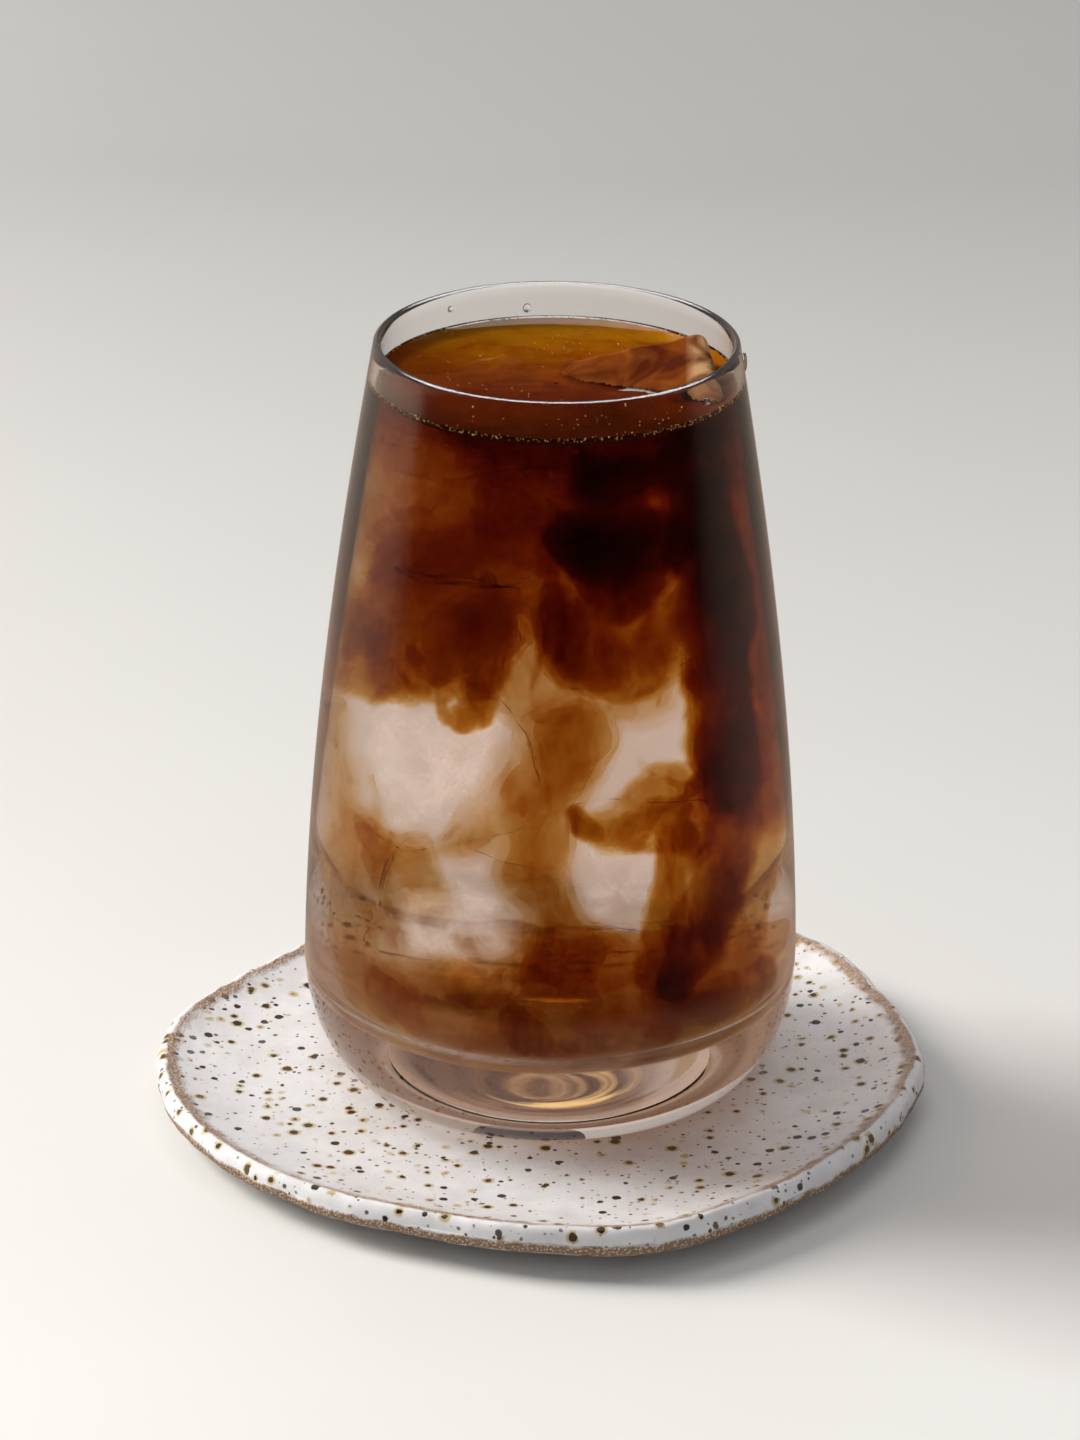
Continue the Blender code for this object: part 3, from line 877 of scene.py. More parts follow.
# painted light: the tone rises towards the far edge, where light comes through the drink
back = axis_of(tree, where, "Y")
share = times_plus(tree, back, 1 / (2 * SURFACE_RADIUS), 0.5)
for swing, amount in ((swirl, 0.55), (streaks, 0.22)):
    share = times_plus(tree, calculate(tree, "SUBTRACT", swing, 0.5), amount, share)
tone = ramp(tree, share, FILM_TONES)
print("film from", FILM_TONES[0][1], "to", FILM_TONES[-1][1])


# %% Painted highlights: pale lines and glints in the film, and a golden curl
def thin_line(tree, value, middle, sharpness):
    """1 where a value passes its middle, 0 a little to both sides."""
    off = calculate(tree, "ABSOLUTE", calculate(tree, "SUBTRACT", value, middle))
    return times_plus(tree, off, -sharpness, 1.0, clamp=True)


PAINTED_RIPPLE_LINE, GOLD_CURL, PAINTED_GLINT = (0.80, 0.36, 0.12), (0.95, 0.36, 0.03), (0.93, 0.86, 0.83)
CURL_MIDDLE, CURL_RADIUS = (11.8 * MM, 5.3 * MM, 0), 3.0 * MM
GLINT_MIDDLE, GLINT_STRETCH = (14.505 * MM, -2.558 * MM, 0), (182.0, 430.0, 0)

# painted highlights: pale lines where the ripples catch the light
line = thin_line(tree, noise(tree, where, 26.0, 0.5, 1.6), 0.5, 60.0)
line = times(tree, line, ramp(tree, swirl, [(0.50, 0.0), (0.64, 0.6)]))
line = times(tree, line, map_range(tree, back, -8 * MM, 2 * MM))
tone = blend_colours(tree, line, tone, PAINTED_RIPPLE_LINE)
curl = thin_line(tree, how_far(tree, where, CURL_MIDDLE, (1.0, 0.55, 0)), CURL_RADIUS, 900.0)
curl = times(tree, curl, ramp(tree, streaks, [(0.40, 0.25), (0.60, 1.0)]))
tone = blend_colours(tree, curl, tone, GOLD_CURL)
# painted highlight: white glints in front of the floating ice
away = calculate(tree, "SUBTRACT", -0.40, how_far(tree, where, GLINT_MIDDLE, GLINT_STRETCH))
glint = times_plus(tree, noise(tree, where, 240.0, 2.0, 2.5), 2.4, away)
tone = blend_colours(tree, times(tree, glint, 6.0, clamp=True), tone, PAINTED_GLINT)
open_way, body = add_node(tree, "BsdfTransparent"), add_node(tree, "BsdfDiffuse", Color=tone)
finish(film_material, mix_shaders(tree, FILM_COVER, open_way, body), film)
print("film", len(film_faces), "faces")

# %% [markdown]
# ## Ice blocks
# Ice from a tray starts as a block and melts from its edges and corners. A cube with a bevel looks too
# exact, and a sculpted block too vague. A fine cube is pulled towards a rounded form by one power law, and
# then dented inwards by noise. The highest block breaks the surface with one corner, as its solid does. The
# others are wholly sunk and hold the coffee apart, so they come before the clouds.

# %% Melted block
def melted_block(name, size, spot, turn, seed, roundness=7.0, dent=0.7 * MM, cuts=22):
    """A block with melted edges. spot is its middle, turn a 3 by 3 matrix of its sides."""
    bm = bmesh.new()
    bmesh.ops.create_cube(bm, size=2.0)
    bmesh.ops.subdivide_edges(bm, edges=bm.edges[:], cuts=cuts, use_grid_fill=True)
    raw, faces = read_out(bm)
    raw = np.sin(raw * math.pi / 4) / math.sin(math.pi / 4)
    spread = (np.abs(raw) ** roundness).sum(1) ** (1 / roundness)
    form = raw / spread[:, None]
    local = form * np.array(size) / 2
    inwards = local / np.linalg.norm(local, axis=1)[:, None]
    depth = 0.5 + 0.6 * lattice_noise(local, 9 * MM, seed) + 0.3 * lattice_noise(local, 3.5 * MM, seed + 1)
    local -= inwards * np.clip(depth, 0, None)[:, None] * dent
    return mesh_piece(name, local @ np.array(turn).T + np.array(spot), faces)


ICE_SIZE = np.array([25.0, 20.0, 14.0]) * MM
ICE_TOP_CORNER = np.array([24.0, 7.6, 7.0]) * MM
ICE_TURN = math.radians(5)
ICE_SLOPE_RIGHT, ICE_SLOPE_BACK = 0.22, 0.40

side_one = Vector((math.cos(ICE_TURN), math.sin(ICE_TURN), ICE_SLOPE_RIGHT)).normalized()
side_two = Vector((-math.sin(ICE_TURN), math.cos(ICE_TURN), ICE_SLOPE_BACK))
side_two = (side_two - side_one * side_two.dot(side_one)).normalized()
block_turn = np.array([side_one, side_two, side_one.cross(side_two)]).T
top_corner = ICE_TOP_CORNER + np.array([0, 0, GLASS_BASE + FILL_HEIGHT])
block_middle = top_corner - block_turn @ (ICE_SIZE / 2)
floating_ice = melted_block("floating_ice", ICE_SIZE, block_middle, block_turn, 51, 12.0, 0.8 * MM, 30)
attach(floating_ice, "root")
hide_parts("ice_block")
ice_top = max(vert.co.z for vert in floating_ice.data.vertices)
print("ice stands", round((ice_top - drink_high[2]) / MM, 1), "mm out")

# %% Sunk blocks
# name, size in mm, middle in mm above the glass's base, turn about Z, X and Y in degrees, seed
SUNK_ICE = (
    ("ice_left", (27, 24, 22), (-16, -8, 60), (25, 12, -8), 61),
    ("ice_low_left", (25, 24, 22), (-13, -15, 35), (-20, 8, 14), 63),
    ("ice_low_right", (26, 22, 22), (12, -10, 44), (35, -12, 10), 65),
    ("ice_high_left", (24, 22, 17), (-12, -4, 99), (10, -8, 6), 67),
    ("ice_high_right", (22, 22, 18), (8, -6, 84), (-32, 10, -8), 69),
)
sunk_blocks = []
for name, size, middle, (spin, tip, lean), seed in SUNK_ICE:
    turn = Matrix.Rotation(math.radians(spin), 3, "Z")
    turn = turn @ Matrix.Rotation(math.radians(tip), 3, "X") @ Matrix.Rotation(math.radians(lean), 3, "Y")
    spot = np.array(middle) * MM + np.array([0, 0, GLASS_BASE])
    block = melted_block(name, np.array(size) * MM, spot, np.array(turn), seed, 4.5, 1.5 * MM)
    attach(block, "root")
    keeps_out = 0.88 if middle[2] < 75 else 0.3     # the high blocks stand in the coffee's first spill
    sunk_blocks.append((block, np.array(size) * MM / 2, spot, np.array(turn), keeps_out))
print(len(sunk_blocks), "sunk blocks")

# %% [markdown]
# ## Ice finish
# In water, ice nearly vanishes, because both bend light alike: only a slight index is left between them.
# What shows is its milky middle and its cracks. Where a block stands in the air it is real ice, wet with
# coffee. The floating block gets both finishes, and each face takes the one that fits its height.

# %% Ice materials
ICE_IOR, SUNK_ICE_IOR = 1.31, 1.005
WET_MARKS, SUNK_MARKS = (420.0, 2.0, 0.3 * MM, 0.35), (260.0, 3.0, 0.6 * MM, 0.6)
STAIN_TONES = [(0.4, (0.085, 0.011, 0.0006)), (0.65, (0.27, 0.062, 0.003))]
TIP_TONES = [(0.36, (0.16, 0.045, 0.008)), (0.60, (0.60, 0.34, 0.16))]

wet_ice, tree, glassy = clear_material("wet_ice", ICE_IOR, 0.03, (0.93, 0.80, 0.62, 1), WET_MARKS)
where = own_place(tree)
stain_and_painted_light = noise(tree, where, 150.0, 2.0, 1.0)
tip = map_range(tree, axis_of(tree, where, "X"), 20.6 * MM, 22.2 * MM)
tone = blend_colours(tree, tip, ramp(tree, stain_and_painted_light, STAIN_TONES), ramp(tree, stain_and_painted_light, TIP_TONES))
skin_of_coffee = add_node(tree, "BsdfPrincipled", Base_Color=tone, Roughness=0.03, IOR=1.08,
                          Normal=relief(tree, *WET_MARKS))
film_share = ramp(tree, stain_and_painted_light, [(0.40, 0.97), (0.66, 0.88)])
finish(wet_ice, mix_shaders(tree, film_share, glassy, skin_of_coffee), floating_ice)

sunk_ice, tree, surface = clear_material("sunk_ice", SUNK_ICE_IOR, 0.04, marks=SUNK_MARKS)
finish(sunk_ice, surface, floating_ice)
for block, *_ in sunk_blocks:
    block.data.materials.append(sunk_ice)
for face in floating_ice.data.polygons:
    face.material_index = int(face.center.z < drink_high[2])


# %% [markdown]
# ## Frost and cracks inside the ice
# Clear ice under water would leave the pale places empty. Real blocks have cloudy veils in their middle and
# a few thin cracks that catch the light. Modelling each bubble would be endless, so a veil is a thin bent
# sheet inside the block. Its material is open for the most part, and noise decides where it is milky and
# where a crack runs.

# %% Frost material
FROST_COLOUR, FROST_PAINTED_GLOW = (0.93, 0.91, 0.90, 1), (1.0, 0.90, 0.82, 1)

frost, tree = new_material("frost_veil")
where = own_place(tree)
crack = times(tree, thin_line(tree, noise(tree, where, 38.0, 0.6, 1.4), 0.5, 150.0), 0.08)
milk = ramp(tree, noise(tree, where, 90.0, 3.0, 1.4), [(0.36, 0.06), (0.68, 0.50)])
cover = times(tree, calculate(tree, "MAXIMUM", crack, milk), mask(tree, "edge_fade"))
front, behind = [add_node(tree, kind, Color=FROST_COLOUR) for kind in ("BsdfDiffuse", "BsdfTranslucent")]
body = mix_shaders(tree, 0.5, front, behind)
# painted light: the milky veil glows a little, for the light that ice gathers from all sides
body = add_node(tree, "AddShader", i0=body, i1=add_node(tree, "Emission", Color=FROST_PAINTED_GLOW, Strength=0.55))
frost_surface = mix_shaders(tree, cover, add_node(tree, "BsdfTransparent"), body)
add_node(tree, "OutputMaterial", Surface=frost_surface)
print("frost of", len(tree.nodes), "nodes")

# %% Veils in the ice
# the block's number, size in mm, shift from the block's middle in mm, turn about X and Z in degrees, seed
ICE_VEILS = (
    (0, 21, (0, -3, 0), (78, 12), 81), (0, 18, (1, 3, 1), (62, -25), 82), (1, 19, (0, -4, 0), (80, -10), 83),
    (1, 18, (-1, 2, 2), (55, 22), 84), (2, 19, (0, -4, 0), (75, 18), 85), (2, 17, (1, 2, 0), (60, -15), 86),
)
VEIL_STEPS = 44

for number, (block_number, size, shift, (tip, spin), seed) in enumerate(ICE_VEILS):
    spot = sunk_blocks[block_number][2]
    step = np.linspace(-0.5, 0.5, VEIL_STEPS) * size * MM
    flat = np.stack(np.meshgrid(step, step, [0.0], indexing="ij"), -1).reshape(-1, 3)
    bow, crumple = lattice_noise(flat, 11 * MM, seed), lattice_noise(flat, 3 * MM, seed + 9)
    flat[:, 2] = 3.2 * MM * bow + 0.7 * MM * crumple
    trim = 1 + 0.16 * lattice_noise(flat, 5 * MM, seed + 5)
    flat[:, :2] *= trim[:, None]
    turn = Matrix.Rotation(math.radians(spin), 3, "Z") @ Matrix.Rotation(math.radians(tip), 3, "X")
    flat = flat @ np.array(turn).T + spot + np.array(shift) * MM
    faces = [(a, a + 1, a + VEIL_STEPS + 1, a + VEIL_STEPS) for row in range(VEIL_STEPS - 1)
             for a in range(row * VEIL_STEPS, row * VEIL_STEPS + VEIL_STEPS - 1)]
    veil = mesh_piece(f"ice_veil_{number}", flat, faces)
    edge_fade = np.minimum.reduce([step - step[0], step[::-1] - step[0]]) / (3 * MM)
    edge_fade = np.clip(np.minimum.outer(edge_fade, edge_fade), 0, 1).ravel()
    write_mask(veil, "edge_fade", edge_fade)
    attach(veil, "root")
    veil.data.materials.append(frost)
print(len(ICE_VEILS), "veils")

# %% [markdown]
# ## Coffee that is still sinking
# Poured coffee is heavier than iced water: it spreads in a dark layer under the surface, slides down
# between the ice blocks, and curls where a stream is slowed. A flat picture on the glass would slide wrong
# in other views, and a true volume of smoke would take hours to render and can't leave Blender. So the
# coffee's strength is worked out as a number at every point of a fine grid, and each cloud is the skin
# where that number passes a level. The skins lie inside one another like those of an onion. Each one only
# dims the light by the way it travels inside, so thin rims stay amber and thick middles turn red-black.

# %% Where the coffee runs
# name, strength, softness of its edge in mm, then places along it: x, y, height in the glass, radius in mm
STREAMS = (
    ("left_cloud", 0.075, 2, [(-2, -14, 101, 7), (-9, -16, 97, 9), (-17, -15, 91, 11),
        (-23, -13, 84, 10)]),
    ("left_cloud_low", 0.075, 1.3, [(-29, -7, 81, 6), (-24, -14, 81, 7), (-18, -20, 83, 7),
        (-13, -22, 85, 7), (-8, -21, 90, 6)]),
    ("left_cloud_edge", 0.05, 1.5, [(-30, -5, 86, 6), (-31, -7, 77, 6)]),
    ("hook_neck", 0.11, 1, [(-10, -25, 90, 5), (-10, -27, 82, 3.6)]),
    ("hook_curl", 0.15, 0.8, [(-10, -27, 82, 3.4), (-11, -28, 77, 2.8), (-14, -28, 75, 2.1),
        (-16, -27, 75, 1.6), (-17, -27, 77, 1.2)]),
    ("lip", 0.1, 1, [(-31, -10, 74, 2.2), (-26, -16, 75, 2.4), (-23, -20, 77, 2.2),
        (-21, -23, 77, 2.2), (-19, -23, 78, 1.8)]),
    ("shoulder_veil", 0.03, 4, [(-23, -4, 100, 5), (-17, -10, 101, 6), (-7, -11, 104, 7)]),
    ("mid_veil", 0.032, 4, [(-5, -18, 86, 7), (-2, -19, 78, 7), (6, -15, 76, 6), (13, -13, 75, 5)]),
    ("wedge_lines", 0.1, 1, [(-1, -24, 101, 1.2), (-2, -26, 94, 1), (-2, -28, 87, 0.8),
        (-3, -29, 81, 0.7)]),
    ("wedge_line_right", 0.12, 1, [(0, -25, 99, 1.2), (2, -27, 92, 0.9), (1, -28, 86, 0.8)]),
    ("top_dark", 0.22, 2, [(5, -16, 112, 4), (10, -15, 111, 4.5), (14, -13, 111, 3.5)]),
    ("chunk_top", 0.32, 1.6, [(4, -18, 103, 5), (15, -14, 101, 5)]),
    ("chunk", 0.32, 1.8, [(9, -17, 100, 8.5), (9, -18, 93, 4.2)]),
    ("red_pool", 0.16, 2.5, [(2, -18, 91, 6), (4, -18, 84, 7)]),
    ("orange_pool", 0.1, 2, [(5, -18, 83, 7), (10, -15, 82, 8), (15, -12, 85, 7)]),
    ("column_top", 0.22, 2, [(20, -8, 118, 5.5), (21, -10, 106, 5.5), (22, -10, 96, 6.5)]),
    ("column_mid", 0.24, 1.4, [(22, -10, 96, 6.5), (23, -12, 83, 6.2), (24, -13, 69, 5.6),
        (26, -12, 58, 5.5)]),
    ("column_low", 0.2, 1.6, [(26, -12, 58, 5.5), (26, -12, 50, 5), (24, -17, 41, 5.5),
        (21, -22, 34, 5.5), (18, -25, 28, 4.5)]),
    ("column_foot", 0.07, 2.5, [(18, -25, 25, 5), (22, -22, 20, 5), (16, -27, 23, 4)]),
    ("right_flank", 0.075, 3, [(27, 6, 95, 5), (29, 1, 80, 6), (31, -2, 64, 6), (32, -5, 51, 4)]),
    ("right_amber", 0.06, 2, [(32, -8, 52, 3), (31, -12, 40, 3.5), (29, -16, 30, 4)]),
    ("tongue_root", 0.12, 1.2, [(25, -17, 67, 3), (23, -21, 60, 4.5), (21, -24, 54, 5)]),
    ("tongue_fan", 0.06, 1.2, [(22, -22, 64, 3), (18, -26, 61, 5), (13, -30, 59, 4.5),
        (9, -31, 58, 3)]),
    ("tongue", 0.1, 0.9, [(21, -25, 55, 4.2), (16, -29, 59, 3.6), (11, -31, 58, 3), (7, -33, 58, 2.2)]),
    ("tongue_fold", 0.2, 0.8, [(23, -23, 64, 1.6), (20, -27, 61, 1.1), (15, -30, 60, 0.9),
        (10, -33, 59, 1)]),
    ("tongue_fold_low", 0.16, 0.8, [(23, -25, 51, 1.5), (18, -29, 54, 1), (13, -31, 55, 0.9),
        (8, -33, 57, 0.9)]),
    ("tongue_tip", 0.3, 0.8, [(4, -33, 61, 1.5), (5, -33, 59, 2.1), (7, -33, 58, 1.7)]),
    ("tongue_wisp", 0.09, 0.9, [(21, -25, 62, 0.9), (16, -28, 65, 0.8), (13, -28, 68, 0.7)]),
    ("tongue_tail", 0.12, 1, [(19, -25, 53, 4), (18, -26, 47, 2.8), (17, -26, 38, 3.4),
        (17, -27, 31, 5)]),
    ("band", 0.075, 6, [(3, -13, 68, 6), (-2, -13, 62, 7), (-7, -13, 56, 6), (-12, -14, 52, 5)]),
    ("band_drop", 0.07, 6, [(-2, -14, 57, 6), (-2, -17, 47, 6), (-1, -21, 35, 8)]),
    ("amber_patch", 0.06, 3, [(-25, -14, 50, 5), (-22, -18, 47, 6), (-18, -23, 42, 5),
        (-22, -19, 36, 5)]),
    ("patch_spot", 0.14, 0.9, [(-24, -21, 41, 1.2), (-23, -22, 40, 1.2)]),
    ("patch_wisp", 0.05, 1.6, [(-28, -16, 63, 0.9), (-27, -18, 57, 1.1), (-27, -19, 50, 1.5),
        (-25, -22, 44, 1.6)]),
    ("left_wall_haze", 0.03, 4, [(-32, -9, 67, 5), (-32, -11, 54, 6), (-31, -15, 38, 8),
        (-27, -21, 26, 8)]),
    ("right_wall_haze", 0.022, 4, [(30, -14, 62, 6), (29, -17, 46, 8), (27, -21, 30, 8),
        (23, -24, 20, 6)]),
    ("bottom_left", 0.05, 2.5, [(-24, -23, 27, 5), (-15, -28, 29, 6), (-4, -31, 30, 7)]),
    ("bottom_mid", 0.05, 3, [(-1, -31, 28, 7), (7, -29, 30, 9), (15, -28, 26, 8)]),
    ("bottom_front", 0.052, 2, [(-6, -32, 20, 6), (5, -31, 18, 6.5), (14, -29, 17, 7),
        (23, -23, 17, 7), (29, -18, 19, 5)]),
    ("bottom_left_front", 0.05, 1.6, [(-26, -23, 23, 3), (-20, -27, 21, 3.5), (-14, -30, 20, 3.5),
        (-7, -31, 19, 4)]),
    ("lobe", 0.12, 1, [(-5, -35, 25, 3.6), (-3, -34, 21, 4)]),
    ("right_lobes", 0.09, 1, [(23, -24, 24, 5), (29, -19, 23, 5), (32, -15, 24, 4)]),
    ("back_cloud", 0.03, 3, [(-16, 8, 90, 7), (-8, 14, 94, 8), (2, 16, 90, 7)]),
    ("back_drape", 0.055, 2, [(19, 10, 104, 6), (21, 12, 84, 5), (22, 12, 64, 5), (22, 10, 46, 5)]),
    ("back_fold", 0.05, 2, [(14, 20, 98, 5), (18, 20, 82, 5), (20, 17, 66, 4)]),
    ("back_pool", 0.035, 3, [(-14, 12, 19, 4), (0, 16, 18, 5), (14, 12, 19, 5), (22, 6, 22, 5)]),
    ("back_thread", 0.10, 1, [(4, 22, 98, 2.5), (2, 24, 88, 1.6), (4, 25, 80, 1)]),
)
CRISP = 1.05     # streams with a sharper edge than this are thin curls, and bend less
# strength, height of the underside and softness in mm
LAYERS = ((0.055, 105.5, 1.3), (0.018, 84.0, 14.0))
BEND = ((15, 2.6, 1), (6, 1.2, 4), (2.6, 0.45, 7))   # size of a swelling and its push in mm, seed
FOLDS = ((8, 0.40, 11), (2.6, 0.24, 12))             # size of a fold in mm, its share of the strength, seed
UPRIGHT = 0.45      # folds hang: heights count less, so each one is drawn out upwards
OVERLAP = 0.25      # where two streams meet, the weaker one adds this share of itself
print(len(STREAMS), "streams of coffee")

# %% Work out the strength on a grid
CELL = 0.9 * MM

grid_low = np.array([-40.0, -40.0, 12.0]) * MM
grid_high = np.array([40.0 * MM, 40.0 * MM, FILL_HEIGHT + 2 * MM])
counts = np.ceil((grid_high - grid_low) / CELL).astype(int) + 1
axes = [grid_low[a] + CELL * np.arange(counts[a]) for a in range(3)]
points = np.stack(np.meshgrid(*axes, indexing="ij"), -1).reshape(-1, 3)


def soft_step(value):
    """0 below 0, 1 above 1, smooth between."""
    value = np.clip(value, 0, 1)
    return value * value * (3 - 2 * value)


def near_stream(places, stations):
    """Distance to the skin of a chain of tapering tubes, negative inside."""
    gap = np.full(len(places), 1.0)
    for start, end in zip(stations, stations[1:]):
        start, end = np.array(start) * MM, np.array(end) * MM
        way = end[:3] - start[:3]
        t = np.clip(((places - start[:3]) @ way) / (way @ way), 0, 1)
        radius = start[3] + t * (end[3] - start[3])
        gap = np.minimum(gap, np.linalg.norm(places - start[:3] - t[:, None] * way, axis=1) - radius)
    return gap


bent = points.copy()
for size, push, seed in BEND:
    bent += push * MM * np.stack([lattice_noise(points, size * MM, seed + k) for k in range(3)], 1)
strength = np.zeros(len(points))
for name, amount, softness, stations in STREAMS:
    places = bent if softness > CRISP else points + 0.3 * (bent - points)
    layer = amount * soft_step(0.5 - near_stream(places, stations) / (softness * MM))
    strength = np.maximum(strength, layer) + OVERLAP * np.minimum(strength, layer)
for amount, underside, softness in LAYERS:
    layer = amount * soft_step(0.5 + (bent[:, 2] - underside * MM) / (softness * MM))
    layer *= 0.45 + 0.55 * soft_step((bent[:, 0] + 24 * MM) / (16 * MM))
    strength = np.maximum(strength, layer) + OVERLAP * np.minimum(strength, layer)
folds = bent * (1, 1, UPRIGHT)
strength *= 1 + sum(share * lattice_noise(folds, size * MM, seed) for size, share, seed in FOLDS)
print(f"strongest coffee {strength.max():.2f} a mm")

# %% Keep the coffee off the wall and out of the ice
KEEP_OFF, BELOW_SURFACE = 0.4 * MM, 0.6 * MM
ROUND_THE_ICE = 2.5 * MM        # the coffee thins out over this way towards a block

reach = np.hypot(points[:, 0], points[:, 1])
room = np.minimum(inside_radius(points[:, 2]) - reach, points[:, 2] - inside_floor(reach)) - KEEP_OFF
room = np.minimum(room, FILL_HEIGHT - BELOW_SURFACE - points[:, 2])
for block, half, spot, turn, keeps_out in sunk_blocks:
    local = (points - spot + np.array([0, 0, GLASS_BASE])) @ turn
    outside_ice = (((np.abs(local) / half) ** 4).sum(1) ** 0.25 - 1) * half.min()
    strength *= 1 - keeps_out + keeps_out * soft_step(outside_ice / ROUND_THE_ICE + 0.7)
strength = np.minimum(strength, room / MM * 0.25)
strength = strength.reshape(counts)


# %% [markdown]
# ## From numbers to a skin
# Marching cubes is the known way to mesh a level in a grid, but it needs a long table of cases. Surface
# nets need none: each grid cell that the level passes gets one point, in the middle of the places where its
# edges are crossed, and each crossed grid edge gets one quad that joins the four cells round it.

# %% Skin of a level
def skin(values, level, low, cell):
    """Mesh the surface where a grid of values passes a level."""
    above = values > level
    shape = np.array(values.shape) - 1
    total = np.zeros((*shape, 3))
    count = np.zeros(shape)
    quads = []
    for axis in range(3):
        first = tuple(slice(0, -1) if a == axis else slice(None) for a in range(3))
        second = tuple(slice(1, None) if a == axis else slice(None) for a in range(3))
        edges = np.argwhere(above[first] != above[second])
        start, end = values[first][tuple(edges.T)], values[second][tuple(edges.T)]
        place = edges.astype(float)
        place[:, axis] += (level - start) / (end - start)
        side, other = [a for a in range(3) if a != axis]
        ring = []
        for back_side, back_other in ((0, 0), (1, 0), (1, 1), (0, 1)):
            cells = edges.copy()
            cells[:, side] -= back_side
            cells[:, other] -= back_other
            np.add.at(total, tuple(cells.T), place)
            np.add.at(count, tuple(cells.T), 1)
            ring.append(np.ravel_multi_index(tuple(cells.T), tuple(shape)))
        ring = np.stack(ring, 1)
        flip = above[first][tuple(edges.T)] == (axis == 1)
        ring[flip] = ring[flip][:, ::-1]
        quads.append(ring)
    used = np.flatnonzero(count.ravel())
    number = np.full(count.size, -1)
    number[used] = np.arange(len(used))
    verts = low + cell * total.reshape(-1, 3)[used] / count.ravel()[used][:, None]
    return verts, number[np.concatenate(quads)]


# %% Mesh and colour the clouds
# level, absorption of red light a mm inside it, absorption of red and of green light against blue, and
# how much its wisps dim the light
CLOUD_SKINS = (
    ("haze", 0.007, 0.012, 0.24, 0.54, 0),
    ("veil", 0.024, 0.018, 0.18, 0.41, 0.13),
    ("cloud", 0.052, 0.030, 0.18, 0.39, 0.14),
    ("stream", 0.100, 0.058, 0.18, 0.38, 0.14),
    ("core", 0.190, 0.110, 0.18, 0.37, 0.10),
)

for name, level, red, red_share, green_share, wisps in CLOUD_SKINS:
    verts, faces = skin(strength, level, grid_low + np.array([0, 0, GLASS_BASE]), CELL)
    cloud = mesh_piece("coffee_" + name, verts, faces)
    material, tree = new_material("coffee_" + name)
    tint = (1.0, 1.0, 1.0, 1)
    if wisps:
        drawn = add_node(tree, "Mapping", Vector=own_place(tree), Scale=(135.0, 135.0, 72.0),
                         Rotation=(0.3, 0.5, 0))
        dark = (1 - 0.5 * wisps, 1 - 1.3 * wisps, 1 - 2.5 * wisps)
        tint = ramp(tree, noise(tree, drawn, 1.0, 1.0, 1.6), [(0.34, dark), (0.52, (1.0, 1.0, 1.0))])
    absorb = add_node(tree, "VolumeAbsorption", Color=(1 - red_share, 1 - green_share, 0.0, 1),
                      Density=red / MM / red_share)
    finish(material, add_node(tree, "BsdfTransparent", Color=tint), cloud, Volume=absorb)
    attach(cloud, "root")
    print(cloud.name, len(faces), "faces")

# %% [markdown]
# ## Bubbles and drops
# Fine golden bubbles collect along the line where the drink meets the wall, and a few float about. Clear
# drops cling to the rim. They are small but they catch the light, and without them a drink looks like
# resin. Bubbles are joined into one mesh of low balls, since a thousand separate objects would slow
# everything down. A drop is a flattened ball with its foot on the glass.

# %% Balls joined into one mesh
def ball(rings, sides):
    """Places and faces of a unit ball."""
    bm = bmesh.new()
    bmesh.ops.create_uvsphere(bm, u_segments=sides, v_segments=rings, radius=1.0)
    return read_out(bm)


def joined_balls(name, spots, sizes, rings=6, sides=8):
    """One mesh with a ball at every spot."""
    verts, faces = ball(rings, sides)
    all_verts = np.concatenate([verts * size + spot for spot, size in zip(spots, sizes)])
    all_faces = [[index + k * len(verts) for index in face] for k in range(len(spots)) for face in faces]
    return mesh_piece(name, all_verts, all_faces)


RING_BUBBLES, LOOSE_BUBBLES = 760, 150
RING_SIZES, LOOSE_SIZES, RING_LIFTS = (0.05, 0.15), (0.05, 0.13), (0.35, 0.95)      # from, to in mm

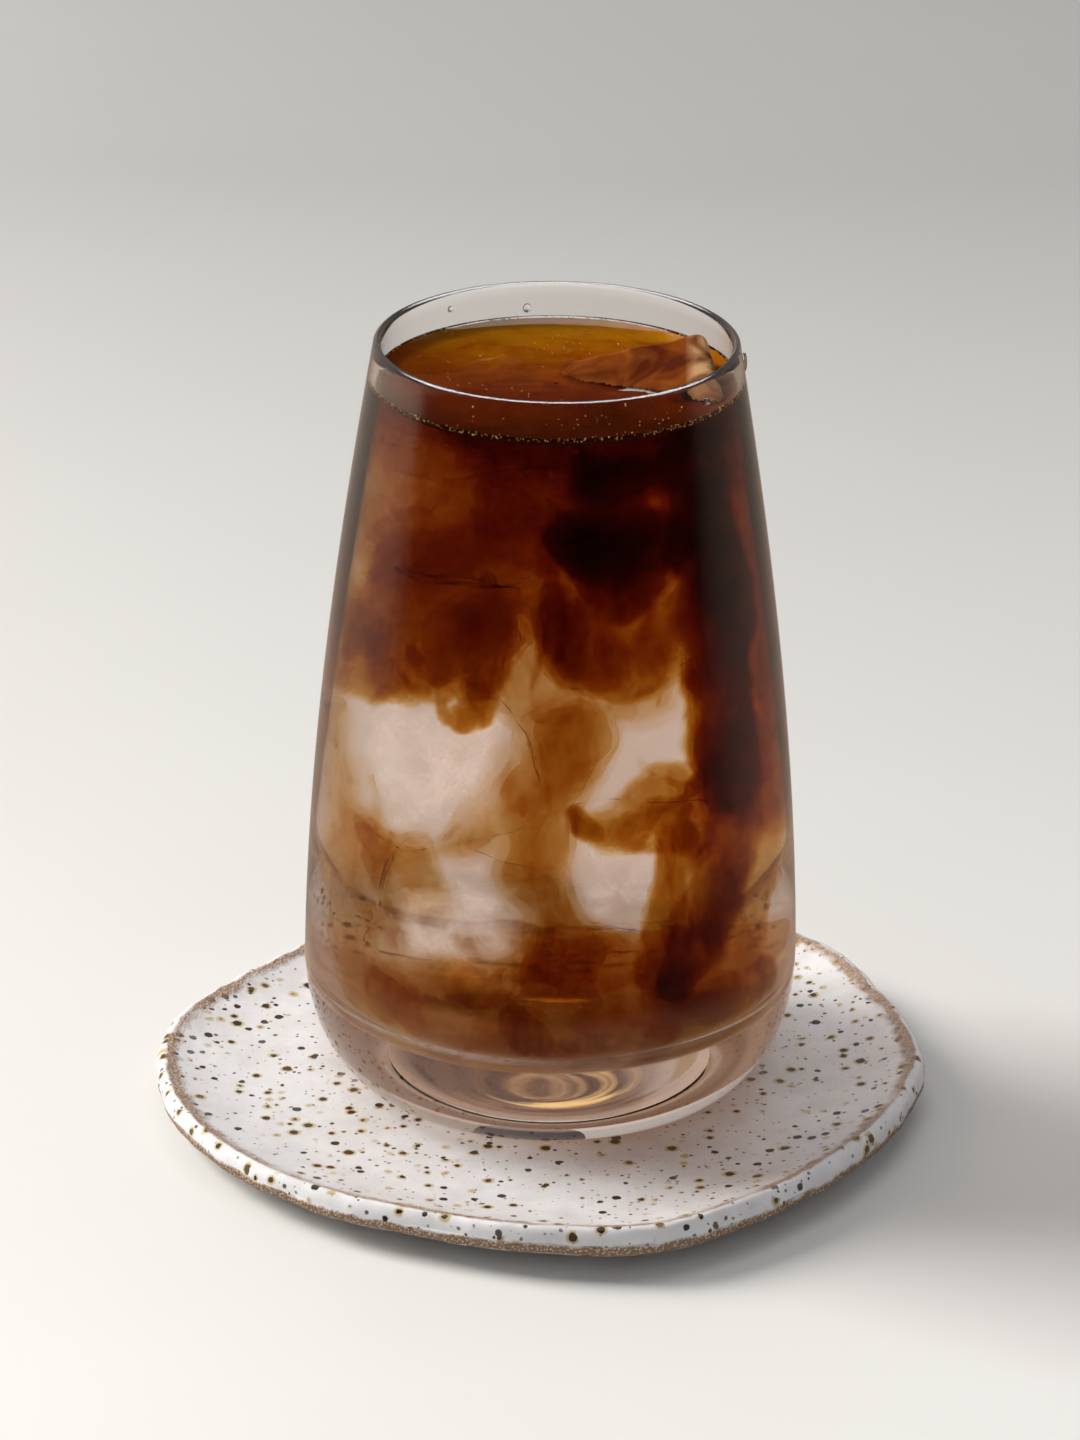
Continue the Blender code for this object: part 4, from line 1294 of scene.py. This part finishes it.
draw = np.random.RandomState(71)
angle = draw.uniform(0, math.tau, RING_BUBBLES)
crowd = 0.5 + 0.5 * np.sin(angle * 5 + 1) * np.sin(angle * 2)
angle = angle[draw.uniform(0, 1, RING_BUBBLES) < 0.45 + 0.55 * crowd]
size = draw.uniform(*RING_SIZES, len(angle)) * MM
lift = draw.uniform(*RING_LIFTS, len(angle)) * MM
ring_reach = inside_radius(FILL_HEIGHT + lift) - size * 1.05
height = GLASS_BASE + FILL_HEIGHT + lift
ring_spots = np.column_stack([ring_reach * np.cos(angle), ring_reach * np.sin(angle), height])

angle = draw.uniform(0, math.tau, LOOSE_BUBBLES)
reach = (SURFACE_RADIUS - CREEP_WIDTH) * np.sqrt(draw.uniform(0.05, 1, LOOSE_BUBBLES))
height = np.full(LOOSE_BUBBLES, drink_high[2])
loose_spots = np.column_stack([reach * np.cos(angle), reach * np.sin(angle), height])
loose_size = draw.uniform(*LOOSE_SIZES, LOOSE_BUBBLES) * MM
spots = np.concatenate([ring_spots, loose_spots])
bubbles = joined_balls("surface_bubbles", spots, np.concatenate([size, loose_size]))
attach(bubbles, "root")
material, tree = new_material("golden_bubble")
shade = noise(tree, own_place(tree), 700.0, 1.0)
tone = ramp(tree, shade, [(0.35, (0.42, 0.17, 0.02)), (0.65, (0.95, 0.62, 0.22))])
finish(material, add_node(tree, "BsdfPrincipled", Base_Color=tone, Roughness=0.15, IOR=WATER_IOR), bubbles)
print(len(spots), "bubbles")

# %% Drops on the glass
# direction in degrees, height in mm, width and height of the drop in mm, 1 outside or -1 inside
DROPS = (
    (4, 124.8, 1.9, 3.4, 1), (100, 124.5, 1.4, 1.6, -1),
    (-38, 125.6, 1.5, 1.2, 1), (128, 126.2, 1.0, 1.1, -1),
)

clear_water, _, surface = clear_material("clear_water", WATER_IOR)
add_node(clear_water.node_tree, "OutputMaterial", Surface=surface)
verts, faces = ball(14, 20)
for number, (direction, height, width, tall, side) in enumerate(DROPS):
    turn = math.radians(direction)
    wall = float(body_radius(height * MM) if side > 0 else inside_radius(height * MM))
    local = verts * np.array([0.45, width / 2, tall / 2]) * MM
    local[:, 1] *= 1 - 0.25 * local[:, 2] / (tall * MM)
    local[:, 0] += (wall + side * 0.12 * MM)
    spin = np.array(Matrix.Rotation(turn, 3, "Z"))
    drop = mesh_piece(f"drop_{number}", local @ spin.T + np.array([0, 0, height * MM + GLASS_BASE]), faces)
    drop.data.materials.append(clear_water)
    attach(drop, "root")
print(len(DROPS), "drops")
